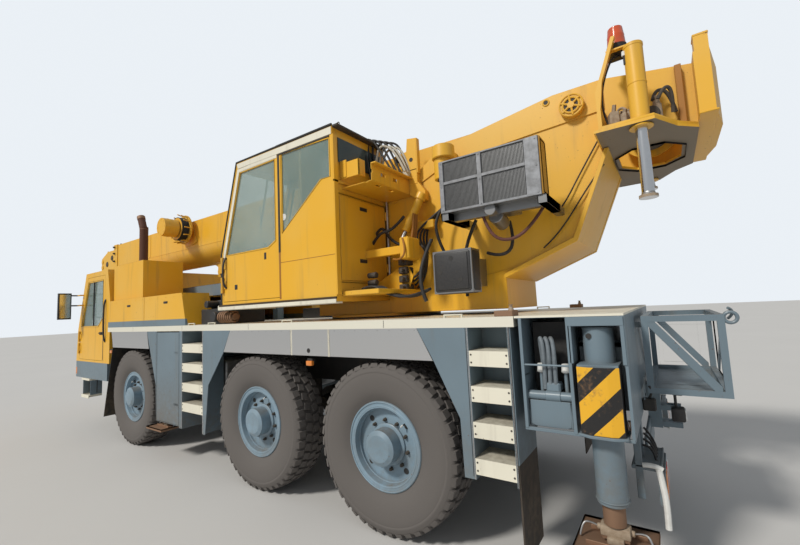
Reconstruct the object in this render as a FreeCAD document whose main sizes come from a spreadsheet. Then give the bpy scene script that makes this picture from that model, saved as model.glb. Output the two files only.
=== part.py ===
# Three-axle all-terrain mobile crane: carrier, slewing upper works and telescopic boom.
# Millimetres, +X forward, +Y to the machine's left, +Z up, wheels on Z = 0.
# Stations along the machine are measured forward from the rear axle.
import FreeCAD
import Part
import Sketcher
import os
import re

SIZES = {
    # Overall layout
    "rear_axle": -3250,
    "axle_gap_rear": 1650,
    "axle_gap_front": 2980,
    "half_width": 1275,
    "skin": 10,
    "fit": 0.3,
    "bore_play": 0.05,
    "clearance": 5,
    # Tyres and rims
    "tyre_radius": 685,
    "tyre_width": 375,
    "tread_width": 310,
    "tyre_bead": 318,
    "tyre_shoulder": 55,
    "tyre_wall": 470,
    "wheel_face": 1250,
    "rim_width": 254,
    "rim_edge": 360,
    "rim_edge_width": 13,
    "rim_wall": 14,
    "dish_inset": 60,
    "dish_wall": 18,
    "hub_radius": 140,
    "hub_length": 165,
    "hub_cap": 105,
    "drum_radius": 215,
    "drum_length": 75,
    # Axles and steering knuckles
    "axle_tube": 78,
    "axle_case": 170,
    "axle_case_width": 300,
    "kingpin_place": 930,
    "kingpin_radius": 32,
    "kingpin_boss": 62,
    "kingpin_height": 170,
    "knuckle_ear": 30,
    "knuckle_web": 34,
    "stub_radius": 62,
    "strut_radius": 60,
    "strut_place": 360,
    # Frame
    "rail_outer": 420,
    "rail_width": 120,
    "frame_low": 1000,
    "frame_rear": -1200,
    "frame_front": 5450,
    "member_width": 100,
    "member_height": 380,
    "member_place": 750,
    "nose_low": 850,
    "nose_high": 1120,
    "nose_front": 6700,
    "nose_back": 5250,
    "bearer_width": 60,
    "bearer_height": 55,
    # Deck
    "deck_top": 1710,
    "deck_sheet": 15,
    "deck_edge": 70,
    "deck_rear": -1170,
    "edge_wall": 12,
    # Slew ring
    "slew_place": 800,
    "ring_radius": 650,
    "ring_bore": 560,
    "race_height": 30,
    "race_top": 1750,
    # Side panels and ladders
    "panel_flare": 140,
    "panel_shoulder": 1390,
    "rear_ladder": -1130,
    "rear_ladder_width": 300,
    "rear_ladder_low": 620,
    "rear_panel_top": -420,
    "rear_panel_knee": -745,
    "panel_knee": 1010,
    "mid_ladder": 2600,
    "mid_ladder_width": 500,
    "mid_ladder_low": 440,
    "mid_panel_top": 2040,
    "mid_panel_knee": 2490,
    "front_panel_top": 4070,
    "front_panel_foot": 3790,
    "front_panel_drop": 90,
    "ladder_depth": 260,
    "tread_height": 105,
    "tread_wall": 28,
    "tread_pitch": 240,
    "tread_first": 1480,
    "flap_inner": 870,
    "flap_low": 150,
    "flap_lean": 40,
    "flap_reach": 270,
    # Fenders
    "fender_low": 1400,
    "fender_drop": 130,
    "fender_sheet": 8,
    "fender_rear_front": 500,
    "fender_mid_rear": 1030,
    "fender_front_end": 5300,
    # Outriggers
    "box_width": 600,
    "box_wall": 15,
    "box_rear": -1800,
    "box_front": 3165,
    "box_low": 1000,
    "box_mouth": 980,
    "beam_low": 1130,
    "beam_height": 370,
    "beam_width": 245,
    "beam_wall": 12,
    "beam_end": 950,
    "beam_gap": 15,
    "jack_place": 1170,
    "jack_radius": 85,
    "jack_low": 620,
    "jack_top": 1630,
    "jack_rod": 60,
    "jack_rod_low": 500,
    "jack_rod_top": 1500,
    "foot_neck": 35,
    "pad_low": 380,
    "pad_sheet": 20,
    "pad_size": 410,
    "guard_face": 1312,
    "guard_width": 215,
    "guard_low": 1030,
    "guard_top": 1410,
    "cover_low": 460,
    "cover_top": 1625,
    # Engine, hood and exhaust
    "engine_gap": 135,
    "engine_length": 1300,
    "engine_half": 280,
    "engine_low": 1050,
    "engine_top": 2050,
    "hood_rear": 3020,
    "hood_front": 5465,
    "hood_top": 2130,
    "hood_slope": 110,
    "tower_rear": 4400,
    "tower_front": 5450,
    "tower_inner": 620,
    "tower_outer": 1200,
    "tower_top": 2700,
    "pipe_radius": 58,
    "pipe_mouth": 52,
    "pipe_place": 4550,
    "pipe_side": 1135,
    "pipe_top": 3230,
    "pipe_tip": 260,
    "pipe_lean": 25,
    # Carrier cab
    "cab_rear": 5480,
    "cab_half": 1240,
    "cab_low": 1130,
    "cab_roof": 2670,
    "cab_roof_rear": 5600,
    "cab_roof_front": 6560,
    "cab_waist": 1700,
    "cab_waist_front": 6900,
    "cab_nose": 6960,
    "cab_wall": 35,
    "cab_door_rear": 5700,
    "cab_door_front": 6800,
    "cab_door_top": 2590,
    "cab_door_slope": 330,
    "cab_pillar": 90,
    "cab_sill_low": 850,
    "cab_step_low": 560,
    "cab_step_place": 6250,
    "cab_step_width": 340,
    "mirror_place": 6820,
    "mirror_side": 1480,
    "mirror_width": 180,
    "mirror_depth": 60,
    "mirror_low": 1880,
    "mirror_top": 2340,
    "mirror_arm": 12,
    "mirror_arm_place": 6670,
    "mirror_arm_top": 2300,
    "mirror_arm_low": 2120,
    "hinge_pin": 10,
    "hinge_barrel": 16,
    "hinge_height": 90,
    # Seats
    "seat_length": 500,
    "seat_pad": 130,
    "seat_height": 300,
    "seat_back": 150,
    "seat_back_lap": 90,
    "seat_back_lift": 30,
    "seat_back_height": 720,
    "pedestal_place": 120,
    "pedestal_length": 260,
    "cab_seat_place": 320,
    "cab_seat_side": 620,
    "cab_seat_width": 500,
    "operator_seat_place": 190,
    "operator_seat_width": 480,
    # Boom rest and rear basket
    "rest_rear": 3330,
    "rest_front": 4870,
    "rest_half": 500,
    "rest_top": 2300,
    "rest_leg": 120,
    "notch_front": 3730,
    "notch_half": 900,
    "basket_rear": -2300,
    "basket_front": -1840,
    "basket_side": 560,
    "basket_low": 1130,
    "basket_top": 1660,
    "basket_bar": 40,
    "hitch_place": -1950,
    "hitch_height": 860,
    "hitch_pin": 25,
    "hitch_back": 60,
    "hitch_half": 70,
    "hitch_drop": 90,
    "hitch_rise": 100,
    "jaw_front": 80,
    "jaw_half": 60,
    "jaw_gap": 45,
    "jaw_wall": 35,
    "lamp_inner": 650,
    "lamp_outer": 1000,
    "lamp_low": 580,
    "lamp_top": 770,
    "lamp_place": 110,
    "lamp_depth": 40,
    "lamp_wing": 60,
    "lamp_strap": 780,
    "lamp_strap_width": 80,
    # Upper frame
    "cheek_inner": 420,
    "cheek_wall": 25,
    "cheek_rear": -1740,
    "cheek_knee": -860,
    "cheek_knee_height": 2015,
    "cheek_low_back": -1465,
    "cheek_low_back_height": 2265,
    "winch_cover": 260,
    "cheek_drop": 100,
    "cheek_slope_place": -280,
    "cheek_slope_height": 2950,
    "cheek_gap": 60,
    "cheek_toe": 300,
    "cheek_toe_height": 2250,
    "cheek_front": 1480,
    "cheek_front_height": 1960,
    "base_plate": 40,
    "luff_place": -1510,
    "luff_height": 3360,
    "luff_pin": 60,
    "boss_radius": 95,
    "boss_lap": 150,
    "boss_cover": 160,
    "boss_width": 60,
    "tail_drop": 310,
    "tail_sheet": 20,
    "tail_side": 825,
    "tail_rib": 290,
    "tail_rear": -2450,
    "tail_block_front": -2300,
    "tail_block_half": 580,
    "tail_block_lift": 50,
    "tail_block_tall": 430,
    "tail_nose": 60,
    "tail_nose_half": 250,
    "tail_cap": 115,
    "tail_cap_width": 100,
    "tail_neck": 450,
    "tail_hole": 300,
    "tail_hole_lap": 40,
    "tail_hole_back": 90,
    "tail_hole_corner": 110,
    "tail_corner": 250,
    "winch_place": -2010,
    "winch_height": 3260,
    "drum_flange": 225,
    "drum_core": 150,
    "drum_half": 300,
    "ballast_side": 750,
    "ballast_place": -1970,
    "ballast_radius": 58,
    "ballast_rod": 38,
    "ballast_disc": 56,
    "ballast_tube": 580,
    "ballast_rod_length": 630,
    "ballast_reach": 400,
    "ballast_hang": 100,
    "beacon_place": -1870,
    "beacon_side": 640,
    "beacon_radius": 66,
    "beacon_base": 60,
    "beacon_lens": 60,
    "beacon_lens_top": 46,
    "beacon_height": 200,
    "beacon_rise": 520,
    "strip_width": 25,
    "strip_lap": 100,
    "strip_rise": 400,
    # Crane cab
    "cc_rear": 420,
    "cc_front": 2230,
    "cc_inner": 455,
    "cc_outer": 1250,
    "cc_low": 1930,
    "cc_waist": 2520,
    "cc_roof_front": 1920,
    "cc_roof_front_height": 3545,
    "cc_roof_rear_height": 3530,
    "cc_wall": 30,
    "cc_split": 1200,
    "cc_cabinet": 880,
    "sill_height": 45,
    "cc_window_low": 2500,
    "cc_window_rear_low": 3045,
    # Oil cooler and valve cover
    "cooler_rear": -1350,
    "cooler_front": -550,
    "cooler_low": 2550,
    "cooler_top": 2980,
    "cooler_face": 1000,
    "cooler_depth": 150,
    "cooler_arm": 60,
    "cooler_lap": 30,
    "cooler_motor": 90,
    "valve_rear": -740,
    "valve_front": -385,
    "valve_low": 1900,
    "valve_top": 2260,
    "valve_face": 900,
    "valve_depth": 170,
    "valve_neck": 60,
    # Boom
    "boom_rear": -950,
    "boom_front": 8050,
    "boom_half": 300,
    "boom_low": 2720,
    "boom_top": 3480,
    "boom_wall": 8,
    "boom_step": 20,
    "boom_show": 80,
    "boom_tail_gap": 60,
    "pad_length": 200,
    "pad_width": 90,
    "foot_radius": 170,
    "foot_top": 100,
    "foot_low": 136,
    "foot_reach": 300,
    "foot_wall": 30,
    "foot_boss": 60,
    "collar_length": 180,
    "collar_wall": 14,
    "head_front": 8950,
    "head_length": 700,
    "sheave_radius": 140,
    "sheave_width": 50,
    "head_pin": 30,
    "head_rise": 60,
    "head_slope": 200,
    "head_toe": 300,
    "head_foot": 20,
    "head_plate": 30,
    "low_sheave_place": 330,
    "low_sheave_height": 410,
    "top_sheave_place": 600,
    "top_sheave_drop": 230,
    "jib_bore_place": 60,
    "jib_bore_low": 360,
    "jib_bore_high": 490,
    "reel_place": 4800,
    "reel_height": 3330,
    "reel_radius": 250,
    "reel_shaft": 100,
    "reel_core": 188,
    "reel_hub": 150,
    "reel_gap": 90,
    "reel_flange": 20,
    "reel_drum": 120,
    "reel_reach": 480,
    # Luffing cylinder
    "ram_base_place": 300,
    "ram_base_height": 2150,
    "ram_eye_place": 4200,
    "ram_eye_height": 2560,
    "ram_radius": 130,
    "ram_rod": 95,
    "ram_pin": 45,
    "ram_eye": 85,
    "ram_half": 55,
    "ram_barrel_end": 3650,
    "ram_rod_back": 480,
    "lug_wall": 30,
}

FUNCTIONS = ("sqrt", "atan2", "sin", "cos", "tan", "deg", "mm")

# Stations of the three axles, as formulas of the sizes
AXLES = {
    "rear": "0",
    "middle": "axle_gap_rear",
    "front": "axle_gap_rear + axle_gap_front",
}
SIDES = {"left": 1, "right": -1}

doc = FreeCAD.newDocument("mobile_crane")
sheet = doc.addObject("Spreadsheet::Sheet", "Sizes")
for row, (alias, size) in enumerate(SIZES.items(), 1):
    sheet.set(f"A{row}", alias)
    sheet.set(f"B{row}", str(size))
    sheet.setAlias(f"B{row}", alias)
doc.recompute()

nodes = []


def formula(text):
    """The text with each size's name pointed at its cell."""
    return re.sub(r"[a-z][a-z_0-9]*", lambda found: cell(found[0]), str(text))


def cell(word):
    return word if word in FUNCTIONS else "Sizes." + word


def bind(item, **formulas):
    for prop, text in formulas.items():
        item.setExpression(prop.replace("__", "."), formula(text))


def station(text):
    return f"rear_axle + ({text})"


def mirrored(side, span):
    """A span across the machine, on the left (1) or the right (-1)."""
    low, high = span
    return (low, high) if side > 0 else (f"-({high})", f"-({low})")


def block(x, y, z):
    item = doc.addObject("Part::Box", "Block")
    for size, place, (low, high) in (("Length", "x", x), ("Width", "y", y), ("Height", "z", z)):
        bind(item, **{size: f"({high}) - ({low})"})
        bind(item, **{f"Placement__Base__{place}": station(low) if place == "x" else low})
    return item


TURNS = {
    "x": FreeCAD.Rotation(FreeCAD.Vector(0, 1, 0), 90),
    "y": FreeCAD.Rotation(FreeCAD.Vector(1, 0, 0), -90),
    "z": FreeCAD.Rotation(),
}


def cylinder(axis, start, radius, length):
    """A round bar from its start point along an axis."""
    item = doc.addObject("Part::Cylinder", "Bar")
    item.Placement = FreeCAD.Placement(FreeCAD.Vector(), TURNS[axis])
    x, y, z = start
    bind(item, Radius=radius, Height=length)
    bind(item, Placement__Base__x=station(x), Placement__Base__y=y, Placement__Base__z=z)
    return item


def cross_bar(x, z, radius, span):
    """A round bar across the machine, between two places along Y."""
    low, high = span
    return cylinder("y", (x, low, z), radius, f"({high}) - ({low})")


def origin_plane(body, role):
    return next(f for f in body.Origin.OriginFeatures if f.Role == role)


def outline(body, role, points):
    """A closed sketch through points given as pairs of formulas."""
    sketch = body.newObject("Sketcher::SketchObject", "Outline")
    sketch.AttachmentSupport = (origin_plane(body, role), [""])
    sketch.MapMode = "FlatFace"
    count = len(points)
    places = [measure(x, y) for x, y in points]
    for n in range(count):
        start, end = places[n], places[(n + 1) % count]
        sketch.addGeometry(Part.LineSegment(start, end), False)
    for n in range(count):
        sketch.addConstraint(Sketcher.Constraint("Coincident", n, 2, (n + 1) % count, 1))
    for n, (x, y) in enumerate(points):
        for kind, text, value in (("DistanceX", x, places[n].x), ("DistanceY", y, places[n].y)):
            index = sketch.addConstraint(Sketcher.Constraint(kind, -1, 1, n, 1, value))
            sketch.setExpression(f"Constraints[{index}]", formula(text))
    return sketch


def measure(x, y):
    """The point that two formulas give with the present sizes."""
    return FreeCAD.Vector(sheet_value(x), sheet_value(y), 0)


def sheet_value(text):
    result = sheet.evalExpression(formula(text))
    return float(getattr(result, "Value", result))


PLANES = {"xz": "XZ_Plane", "yz": "YZ_Plane", "xy": "XY_Plane"}


def profile(plane, points, span):
    """A flat outline padded between two places along the axis square to its plane."""
    low, high = span
    body = doc.addObject("PartDesign::Body", "Profile")
    if plane != "yz":
        points = [(station(a), b) for a, b in points]
    sketch = outline(body, PLANES[plane], points)
    offset = {"xz": f"-({high})", "yz": station(low), "xy": low}[plane]
    bind(sketch, AttachmentOffset__Base__z=offset)
    pad = body.newObject("PartDesign::Pad", "Pad")
    pad.Profile = sketch
    bind(pad, Length=f"({high}) - ({low})")
    return body


def turned(points, x, z):
    """An outline of (place along Y, radius) pairs turned about an axis across the machine."""
    body = doc.addObject("PartDesign::Body", "Turned")
    sketch = outline(body, "YZ_Plane", points)
    solid = body.newObject("PartDesign::Revolution", "Revolution")
    solid.Profile = sketch
    solid.ReferenceAxis = (sketch, ["H_Axis"])
    solid.Angle = 360
    bind(body, Placement__Base__x=station(x), Placement__Base__z=z)
    return body


def fuse(items):
    if len(items) == 1:
        return items[0]
    item = doc.addObject("Part::MultiFuse", "Union")
    item.Shapes = items
    item.Refine = False
    return item


def cut(base, tools):
    item = doc.addObject("Part::Cut", "Difference")
    item.Base = base
    item.Tool = fuse(tools)
    return item


def group(items):
    if len(items) == 1:
        return items[0]
    item = doc.addObject("Part::Compound", "Set")
    item.Links = items
    return item


def name(label, item):
    item.Label = label
    nodes.append(item)
    return item


# Wheels: tyre, rim with dished disc and hub, and the knuckle that carries them
def wheel_outline(side, points):
    middle = "wheel_face - tyre_width / 2"
    return [(f"{side} * ({middle} + ({y}))", r) for y, r in points]


def tyre(side, x):
    points = [
        ("-rim_width / 2", "tyre_bead"),
        ("-rim_width / 2", "rim_edge + fit"),
        ("-tyre_width / 2", "tyre_wall"),
        ("-tyre_width / 2", "tyre_radius - tyre_shoulder"),
        ("-tread_width / 2", "tyre_radius"),
        ("tread_width / 2", "tyre_radius"),
        ("tyre_width / 2", "tyre_radius - tyre_shoulder"),
        ("tyre_width / 2", "tyre_wall"),
        ("rim_width / 2", "rim_edge + fit"),
        ("rim_width / 2", "tyre_bead"),
    ]
    return turned(wheel_outline(side, points), x, "tyre_radius")


def rim(side, x):
    inner, outer = "-rim_width / 2", "rim_width / 2"
    dish = f"{outer} - dish_inset"
    points = [
        (f"{inner}", "tyre_bead - rim_wall"),
        (f"{inner} - rim_edge_width", "tyre_bead - rim_wall"),
        (f"{inner} - rim_edge_width", "rim_edge"),
        (f"{inner}", "rim_edge"),
        (f"{inner}", "tyre_bead"),
        (f"{outer}", "tyre_bead"),
        (f"{outer}", "rim_edge"),
        (f"{outer} + rim_edge_width", "rim_edge"),
        (f"{outer} + rim_edge_width", "tyre_bead - rim_wall"),
        (f"{dish}", "tyre_bead - 2 * rim_wall"),
        (f"{dish}", "hub_radius"),
        (f"{dish} + hub_length - 2 * dish_wall", "hub_radius"),
        (f"{dish} + hub_length - dish_wall", "hub_cap"),
        (f"{dish} + hub_length - dish_wall", "0"),
        (f"{dish} - dish_wall", "0"),
        (f"{dish} - dish_wall", "stub_radius + bore_play"),
        (f"{dish} - dish_wall - drum_length", "stub_radius + bore_play"),
        (f"{dish} - dish_wall - drum_length", "drum_radius"),
        (f"{dish} - dish_wall", "drum_radius"),
        (f"{dish} - dish_wall", "tyre_bead - rim_wall * 2.5"),
    ]
    return turned(wheel_outline(side, points), x, "tyre_radius")


def knuckle(side, x):
    web = ("kingpin_place + kingpin_boss + clearance", "kingpin_place + kingpin_boss + clearance + knuckle_web")
    ears = []
    for up in (1, -1):
        low, high = mirrored(up, ("kingpin_height / 2 + fit", "kingpin_height / 2 + knuckle_ear"))
        low, high = f"tyre_radius + ({low})", f"tyre_radius + ({high})"
        ears.append(cylinder("z", (x, f"{side} * kingpin_place", low), "kingpin_boss", f"({high}) - ({low})"))
        arm = mirrored(side, ("kingpin_place", web[1]))
        ears.append(block((f"{x} - kingpin_boss", f"{x} + kingpin_boss"), arm, (low, high)))
    tall = "kingpin_height / 2 + knuckle_ear"
    pin = cylinder(
        "z", (x, f"{side} * kingpin_place", f"tyre_radius - ({tall})"), "kingpin_radius", f"2 * ({tall})"
    )
    plate = block(
        (f"{x} - kingpin_boss", f"{x} + kingpin_boss"),
        mirrored(side, web),
        (f"tyre_radius - ({tall})", f"tyre_radius + ({tall})"),
    )
    dish = "wheel_face - tyre_width / 2 + rim_width / 2 - dish_inset - dish_wall"
    stub = cross_bar(x, "tyre_radius", "stub_radius", mirrored(side, (web[0], f"{dish} - fit")))
    return fuse(ears + [pin, plate, stub])


for axle, x in AXLES.items():
    for hand, side in SIDES.items():
        name(f"tyre_{axle}_{hand}", tyre(side, x))
        name(f"rim_{axle}_{hand}", rim(side, x))
        name(f"knuckle_{axle}_{hand}", knuckle(side, x))


# Driven axles: tube, gear case, bored kingpin bosses and suspension struts up to the rails
def axle_beam(x):
    reach = "kingpin_place - kingpin_boss / 2"
    parts = [cross_bar(x, "tyre_radius", "axle_tube", (f"-({reach})", reach))]
    parts.append(cross_bar(x, "tyre_radius", "axle_case", ("-axle_case_width / 2", "axle_case_width / 2")))
    bores = []
    for side in SIDES.values():
        foot = "tyre_radius - kingpin_height / 2"
        place = (x, f"{side} * kingpin_place", foot)
        parts.append(cylinder("z", place, "kingpin_boss", "kingpin_height"))
        bores.append(cylinder("z", place, "kingpin_radius + bore_play", "kingpin_height"))
        base = (x, f"{side} * strut_place", "tyre_radius")
        parts.append(cylinder("z", base, "strut_radius", "frame_low - tyre_radius"))
    return cut(fuse(parts), bores)


name("axles", group([axle_beam(x) for x in AXLES.values()]))


# Frame: two rails each side of the front outrigger box, cross members, low nose and deck bearers
FRAME_TOP = "deck_top - deck_sheet"
ENGINE_REAR = "box_front + box_width + engine_gap"
rail_runs = (("frame_rear", "box_front"), ("box_front + box_width", "frame_front"))
frame_parts = []
for side in SIDES.values():
    across = mirrored(side, ("rail_outer - rail_width", "rail_outer"))
    for run in rail_runs:
        frame_parts.append(block(run, across, ("frame_low", FRAME_TOP)))
    frame_parts.append(block(("nose_back", "nose_front"), across, ("nose_low", "nose_high")))
inner_half = ("rail_width - rail_outer", "rail_outer - rail_width")
members = (
    "frame_rear",
    "-member_width / 2",
    "slew_place - ring_bore",
    "axle_gap_rear",
    "axle_gap_rear + member_place",
    "box_front - member_width",
    "box_front + box_width",
    "frame_front - member_width",
)
for x in members:
    frame_parts.append(
        block((x, f"{x} + member_width"), inner_half, (f"{FRAME_TOP} - member_height", FRAME_TOP))
    )
frame_parts.append(
    block(("nose_front - member_width", "nose_front"), inner_half, ("nose_low", "nose_high"))
)
bearers = (
    "deck_rear + edge_wall",
    "(fender_rear_front + fender_mid_rear) / 2 - bearer_width / 2",
    "mid_ladder - bearer_width",
    "front_panel_foot",
    "frame_front - bearer_width",
)
for side in SIDES.values():
    for x in bearers:
        across = mirrored(side, ("rail_outer", "half_width - edge_wall"))
        frame_parts.append(
            block((x, f"{x} + bearer_width"), across, (f"{FRAME_TOP} - bearer_height", FRAME_TOP))
        )
ring = cut(
    cylinder("z", ("slew_place", "0", FRAME_TOP), "ring_radius", "race_height"),
    [cylinder("z", ("slew_place", "0", FRAME_TOP), "ring_bore", "race_height")],
)
name("frame", group([fuse(frame_parts), ring]))


# Deck: sheet with folded edges, open round the slew ring and over the engine
whole = ("-half_width", "half_width")
deck_sheet = block(("deck_rear", "frame_front"), whole, (FRAME_TOP, "deck_top"))
edge_z = ("deck_top - deck_edge", "deck_top")
deck_edges = [
    block(("deck_rear", "frame_front"), mirrored(side, ("half_width - edge_wall", "half_width")), edge_z)
    for side in SIDES.values()
]
deck_edges += [
    block(("deck_rear", "deck_rear + edge_wall"), mirrored(side, ("rail_outer", "half_width")), edge_z)
    for side in SIDES.values()
]
deck_holes = [
    cylinder("z", ("slew_place", "0", FRAME_TOP), "ring_radius + clearance", "deck_sheet"),
    block(
        (f"{ENGINE_REAR} - clearance", f"{ENGINE_REAR} + engine_length + clearance"),
        ("-engine_half - clearance", "engine_half + clearance"),
        (FRAME_TOP, "deck_top"),
    ),
]
name("deck", cut(fuse([deck_sheet] + deck_edges), deck_holes))


# Side panels with the two ladders and the mud flaps
DECK_UNDER = "deck_top - deck_edge"


def side_panel(side, points):
    return profile("xz", points, mirrored(side, ("half_width - skin", "half_width")))


def ladder(side, x, width, low):
    depth = mirrored(side, ("half_width - ladder_depth", "half_width"))
    back = mirrored(side, ("half_width - ladder_depth", "half_width - ladder_depth + skin"))
    tall = (low, DECK_UNDER)
    parts = [
        block((x, f"{x} + skin"), depth, tall),
        block((f"{x} + {width} - skin", f"{x} + {width}"), depth, tall),
        block((x, f"{x} + {width}"), back, tall),
    ]
    return parts


def treads(side, x, width, low, count):
    parts = []
    for n in range(count):
        top = f"tread_first - {n} * tread_pitch"
        along = (f"{x} + skin", f"{x} + {width} - skin")
        face = mirrored(side, ("half_width - tread_wall", "half_width"))
        floor = mirrored(side, ("half_width - ladder_depth + skin", "half_width - tread_wall / 2"))
        board = block(along, face, (f"{top} - tread_height", top))
        step = block(along, floor, (f"{top} - skin", top))
        parts.append(fuse([board, step]))
    return parts


panel_solids = []
tread_solids = []
for side in SIDES.values():
    ladder_front = "rear_ladder + rear_ladder_width"
    rear_panel = side_panel(side, [
        ("rear_panel_top", DECK_UNDER),
        ("rear_panel_top - panel_flare", "panel_shoulder"),
        ("rear_panel_knee", "panel_knee"),
        ("rear_panel_knee - skin", "rear_ladder_low"),
        (ladder_front, "rear_ladder_low"),
        (ladder_front, DECK_UNDER),
    ])
    flap = block(
        ("rear_ladder - skin", "rear_ladder"),
        mirrored(side, ("flap_inner", "half_width - skin")),
        ("flap_low", DECK_UNDER),
    )
    rear = ladder(side, "rear_ladder", "rear_ladder_width", "rear_ladder_low")
    panel_solids.append(fuse([rear_panel, flap] + rear))
    tread_solids += treads(side, "rear_ladder", "rear_ladder_width", "rear_ladder_low", 4)
    mid_panel = side_panel(side, [
        ("mid_panel_top", DECK_UNDER),
        ("mid_panel_top + panel_flare", "panel_shoulder"),
        ("mid_panel_knee", "panel_knee"),
        ("mid_panel_knee + panel_flare / 2", "mid_ladder_low"),
        ("mid_ladder", "mid_ladder_low"),
        ("mid_ladder", DECK_UNDER),
    ])
    mid = ladder(side, "mid_ladder", "mid_ladder_width", "mid_ladder_low")
    strip = side_panel(side, [
        ("mid_ladder + mid_ladder_width - skin", "mid_ladder_low"),
        ("box_front - clearance", "mid_ladder_low"),
        ("box_front - clearance", DECK_UNDER),
        ("mid_ladder + mid_ladder_width - skin", DECK_UNDER),
    ])
    panel_solids.append(fuse([mid_panel, strip] + mid))
    tread_solids += treads(side, "mid_ladder", "mid_ladder_width", "mid_ladder_low", 4)
    cover_end = "box_front + box_width + clearance"
    front_panel = side_panel(side, [
        (cover_end, DECK_UNDER),
        ("front_panel_top", DECK_UNDER),
        ("front_panel_foot", "panel_knee - front_panel_drop"),
        (cover_end, "cover_low"),
    ])
    panel_solids.append(front_panel)
    flap_span = mirrored(side, ("flap_inner", "half_width - skin"))
    panel_solids.append(profile("xz", [
        ("fender_front_end", DECK_UNDER),
        ("fender_front_end - flap_lean", "fender_low"),
        ("fender_front_end + flap_reach", "2 * flap_low"),
        ("fender_front_end + flap_reach + skin", "2 * flap_low"),
        ("fender_front_end - flap_lean + skin", "fender_low"),
        ("fender_front_end + skin", DECK_UNDER),
    ], flap_span))
name("side_panels", group(panel_solids))
name("ladder_treads", group(tread_solids))


# Fenders of bright sheet over each wheel, and the plate between the rear pair
def fender(side, rear, front, rear_lean, front_lean):
    top = DECK_UNDER
    face = side_panel(side, [
        (rear, top),
        (f"{rear} - {rear_lean}", "fender_low"),
        (f"{front} + {front_lean}", "fender_low"),
        (front, top),
    ])
    under = f"{top} - fender_sheet"
    arch = profile("xz", [
        (f"{rear} - {rear_lean}", "fender_low"),
        (rear, top),
        (front, top),
        (f"{front} + {front_lean}", "fender_low"),
        (f"{front} + {front_lean} - fender_sheet", "fender_low"),
        (f"{front} - fender_sheet", under),
        (f"{rear} + fender_sheet", under),
        (f"{rear} - {rear_lean} + fender_sheet", "fender_low"),
    ], mirrored(side, ("flap_inner", "half_width - skin")))
    return fuse([face, arch])


fender_solids = []
for side in SIDES.values():
    gap = "clearance / 2"
    fender_solids.append(fender(side, f"rear_panel_top + {gap}", "fender_rear_front", "fender_drop", "0"))
    fender_solids.append(fender(side, "fender_mid_rear", f"mid_panel_top - {gap}", "0", "fender_drop"))
    fender_solids.append(
        fender(side, f"front_panel_top + {gap}", f"fender_front_end - {gap}", "fender_drop / 2", "-fender_drop / 2")
    )
    fender_solids.append(side_panel(side, [
        (f"fender_rear_front + {gap}", "fender_low"),
        (f"fender_mid_rear - {gap}", "fender_low"),
        (f"fender_mid_rear - {gap}", DECK_UNDER),
        (f"fender_rear_front + {gap}", DECK_UNDER),
    ]))
name("fenders", group(fender_solids))


# Outrigger boxes: three walls, floor and roof, open bays for the jacks at both ends
BEAM_TOP = "beam_low + beam_height"


def outrigger_box(x, top, bay_end):
    walls = []
    for place in (x, f"{x} + box_width / 2 - box_wall / 2", f"{x} + box_width - box_wall"):
        walls.append(
            block((place, f"{place} + box_wall"), (f"-({bay_end})", bay_end), ("box_low", top))
        )
    mouth = ("-box_mouth", "box_mouth")
    along = (x, f"{x} + box_width")
    walls.append(block(along, mouth, ("beam_low - beam_gap - box_wall", "beam_low - beam_gap")))
    walls.append(
        block(along, mouth, (f"{BEAM_TOP} + beam_gap", f"{BEAM_TOP} + beam_gap + box_wall"))
    )
    for centre in beam_centres(x):
        for y in ("-box_mouth", "box_mouth - ring_bore / 4"):
            pad = (f"{centre} - beam_width / 4", f"{centre} + beam_width / 4")
            width = (y, f"{y} + ring_bore / 4")
            walls.append(block(pad, width, ("beam_low - beam_gap", "beam_low - fit")))
            walls.append(block(pad, width, (f"{BEAM_TOP} + fit", f"{BEAM_TOP} + beam_gap")))
    return walls


def beam_centres(x):
    """Stations of the left and right beams, side by side in one box."""
    rear = f"{x} + box_width / 4 + box_wall / 4"
    front = f"{x} + 3 * box_width / 4 - box_wall / 4"
    return (rear, front) if x == "box_rear" else (front, rear)


rear_box = outrigger_box("box_rear", FRAME_TOP, "half_width")
rear_box.append(
    block(("box_rear", "deck_rear - clearance"), whole, (FRAME_TOP, "deck_top"))
)
rear_box.append(
    block(("box_rear + box_width - box_wall", "frame_rear"), ("-rail_outer", "rail_outer"), ("box_low", FRAME_TOP))
)
front_box = outrigger_box("box_front", DECK_UNDER, "half_width - 2 * skin")
name("outrigger_boxes", group([fuse(rear_box), fuse(front_box)]))


def jack_tube(side, x):
    place = (x, f"{side} * jack_place", "jack_low")
    return cylinder("z", place, "jack_radius", "jack_top - jack_low")


def outrigger_beam(side, x, extras):
    reach = mirrored(side, ("-beam_end", "jack_place - jack_radius + beam_wall"))
    hollow = mirrored(side, ("-beam_end", "jack_place - jack_radius - beam_wall"))
    half, inside = "beam_width / 2", "beam_width / 2 - beam_wall"
    shell = cut(
        block((f"{x} - {half}", f"{x} + {half}"), reach, ("beam_low", BEAM_TOP)),
        [block((f"{x} - ({inside})", f"{x} + {inside}"), hollow,
               ("beam_low + beam_wall", f"{BEAM_TOP} - beam_wall"))],
    )
    bore = cylinder(
        "z", (x, f"{side} * jack_place", "jack_low"), "jack_rod + bore_play", "jack_top - beam_wall - jack_low"
    )
    return cut(fuse([shell, jack_tube(side, x)] + extras), [bore])


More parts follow.
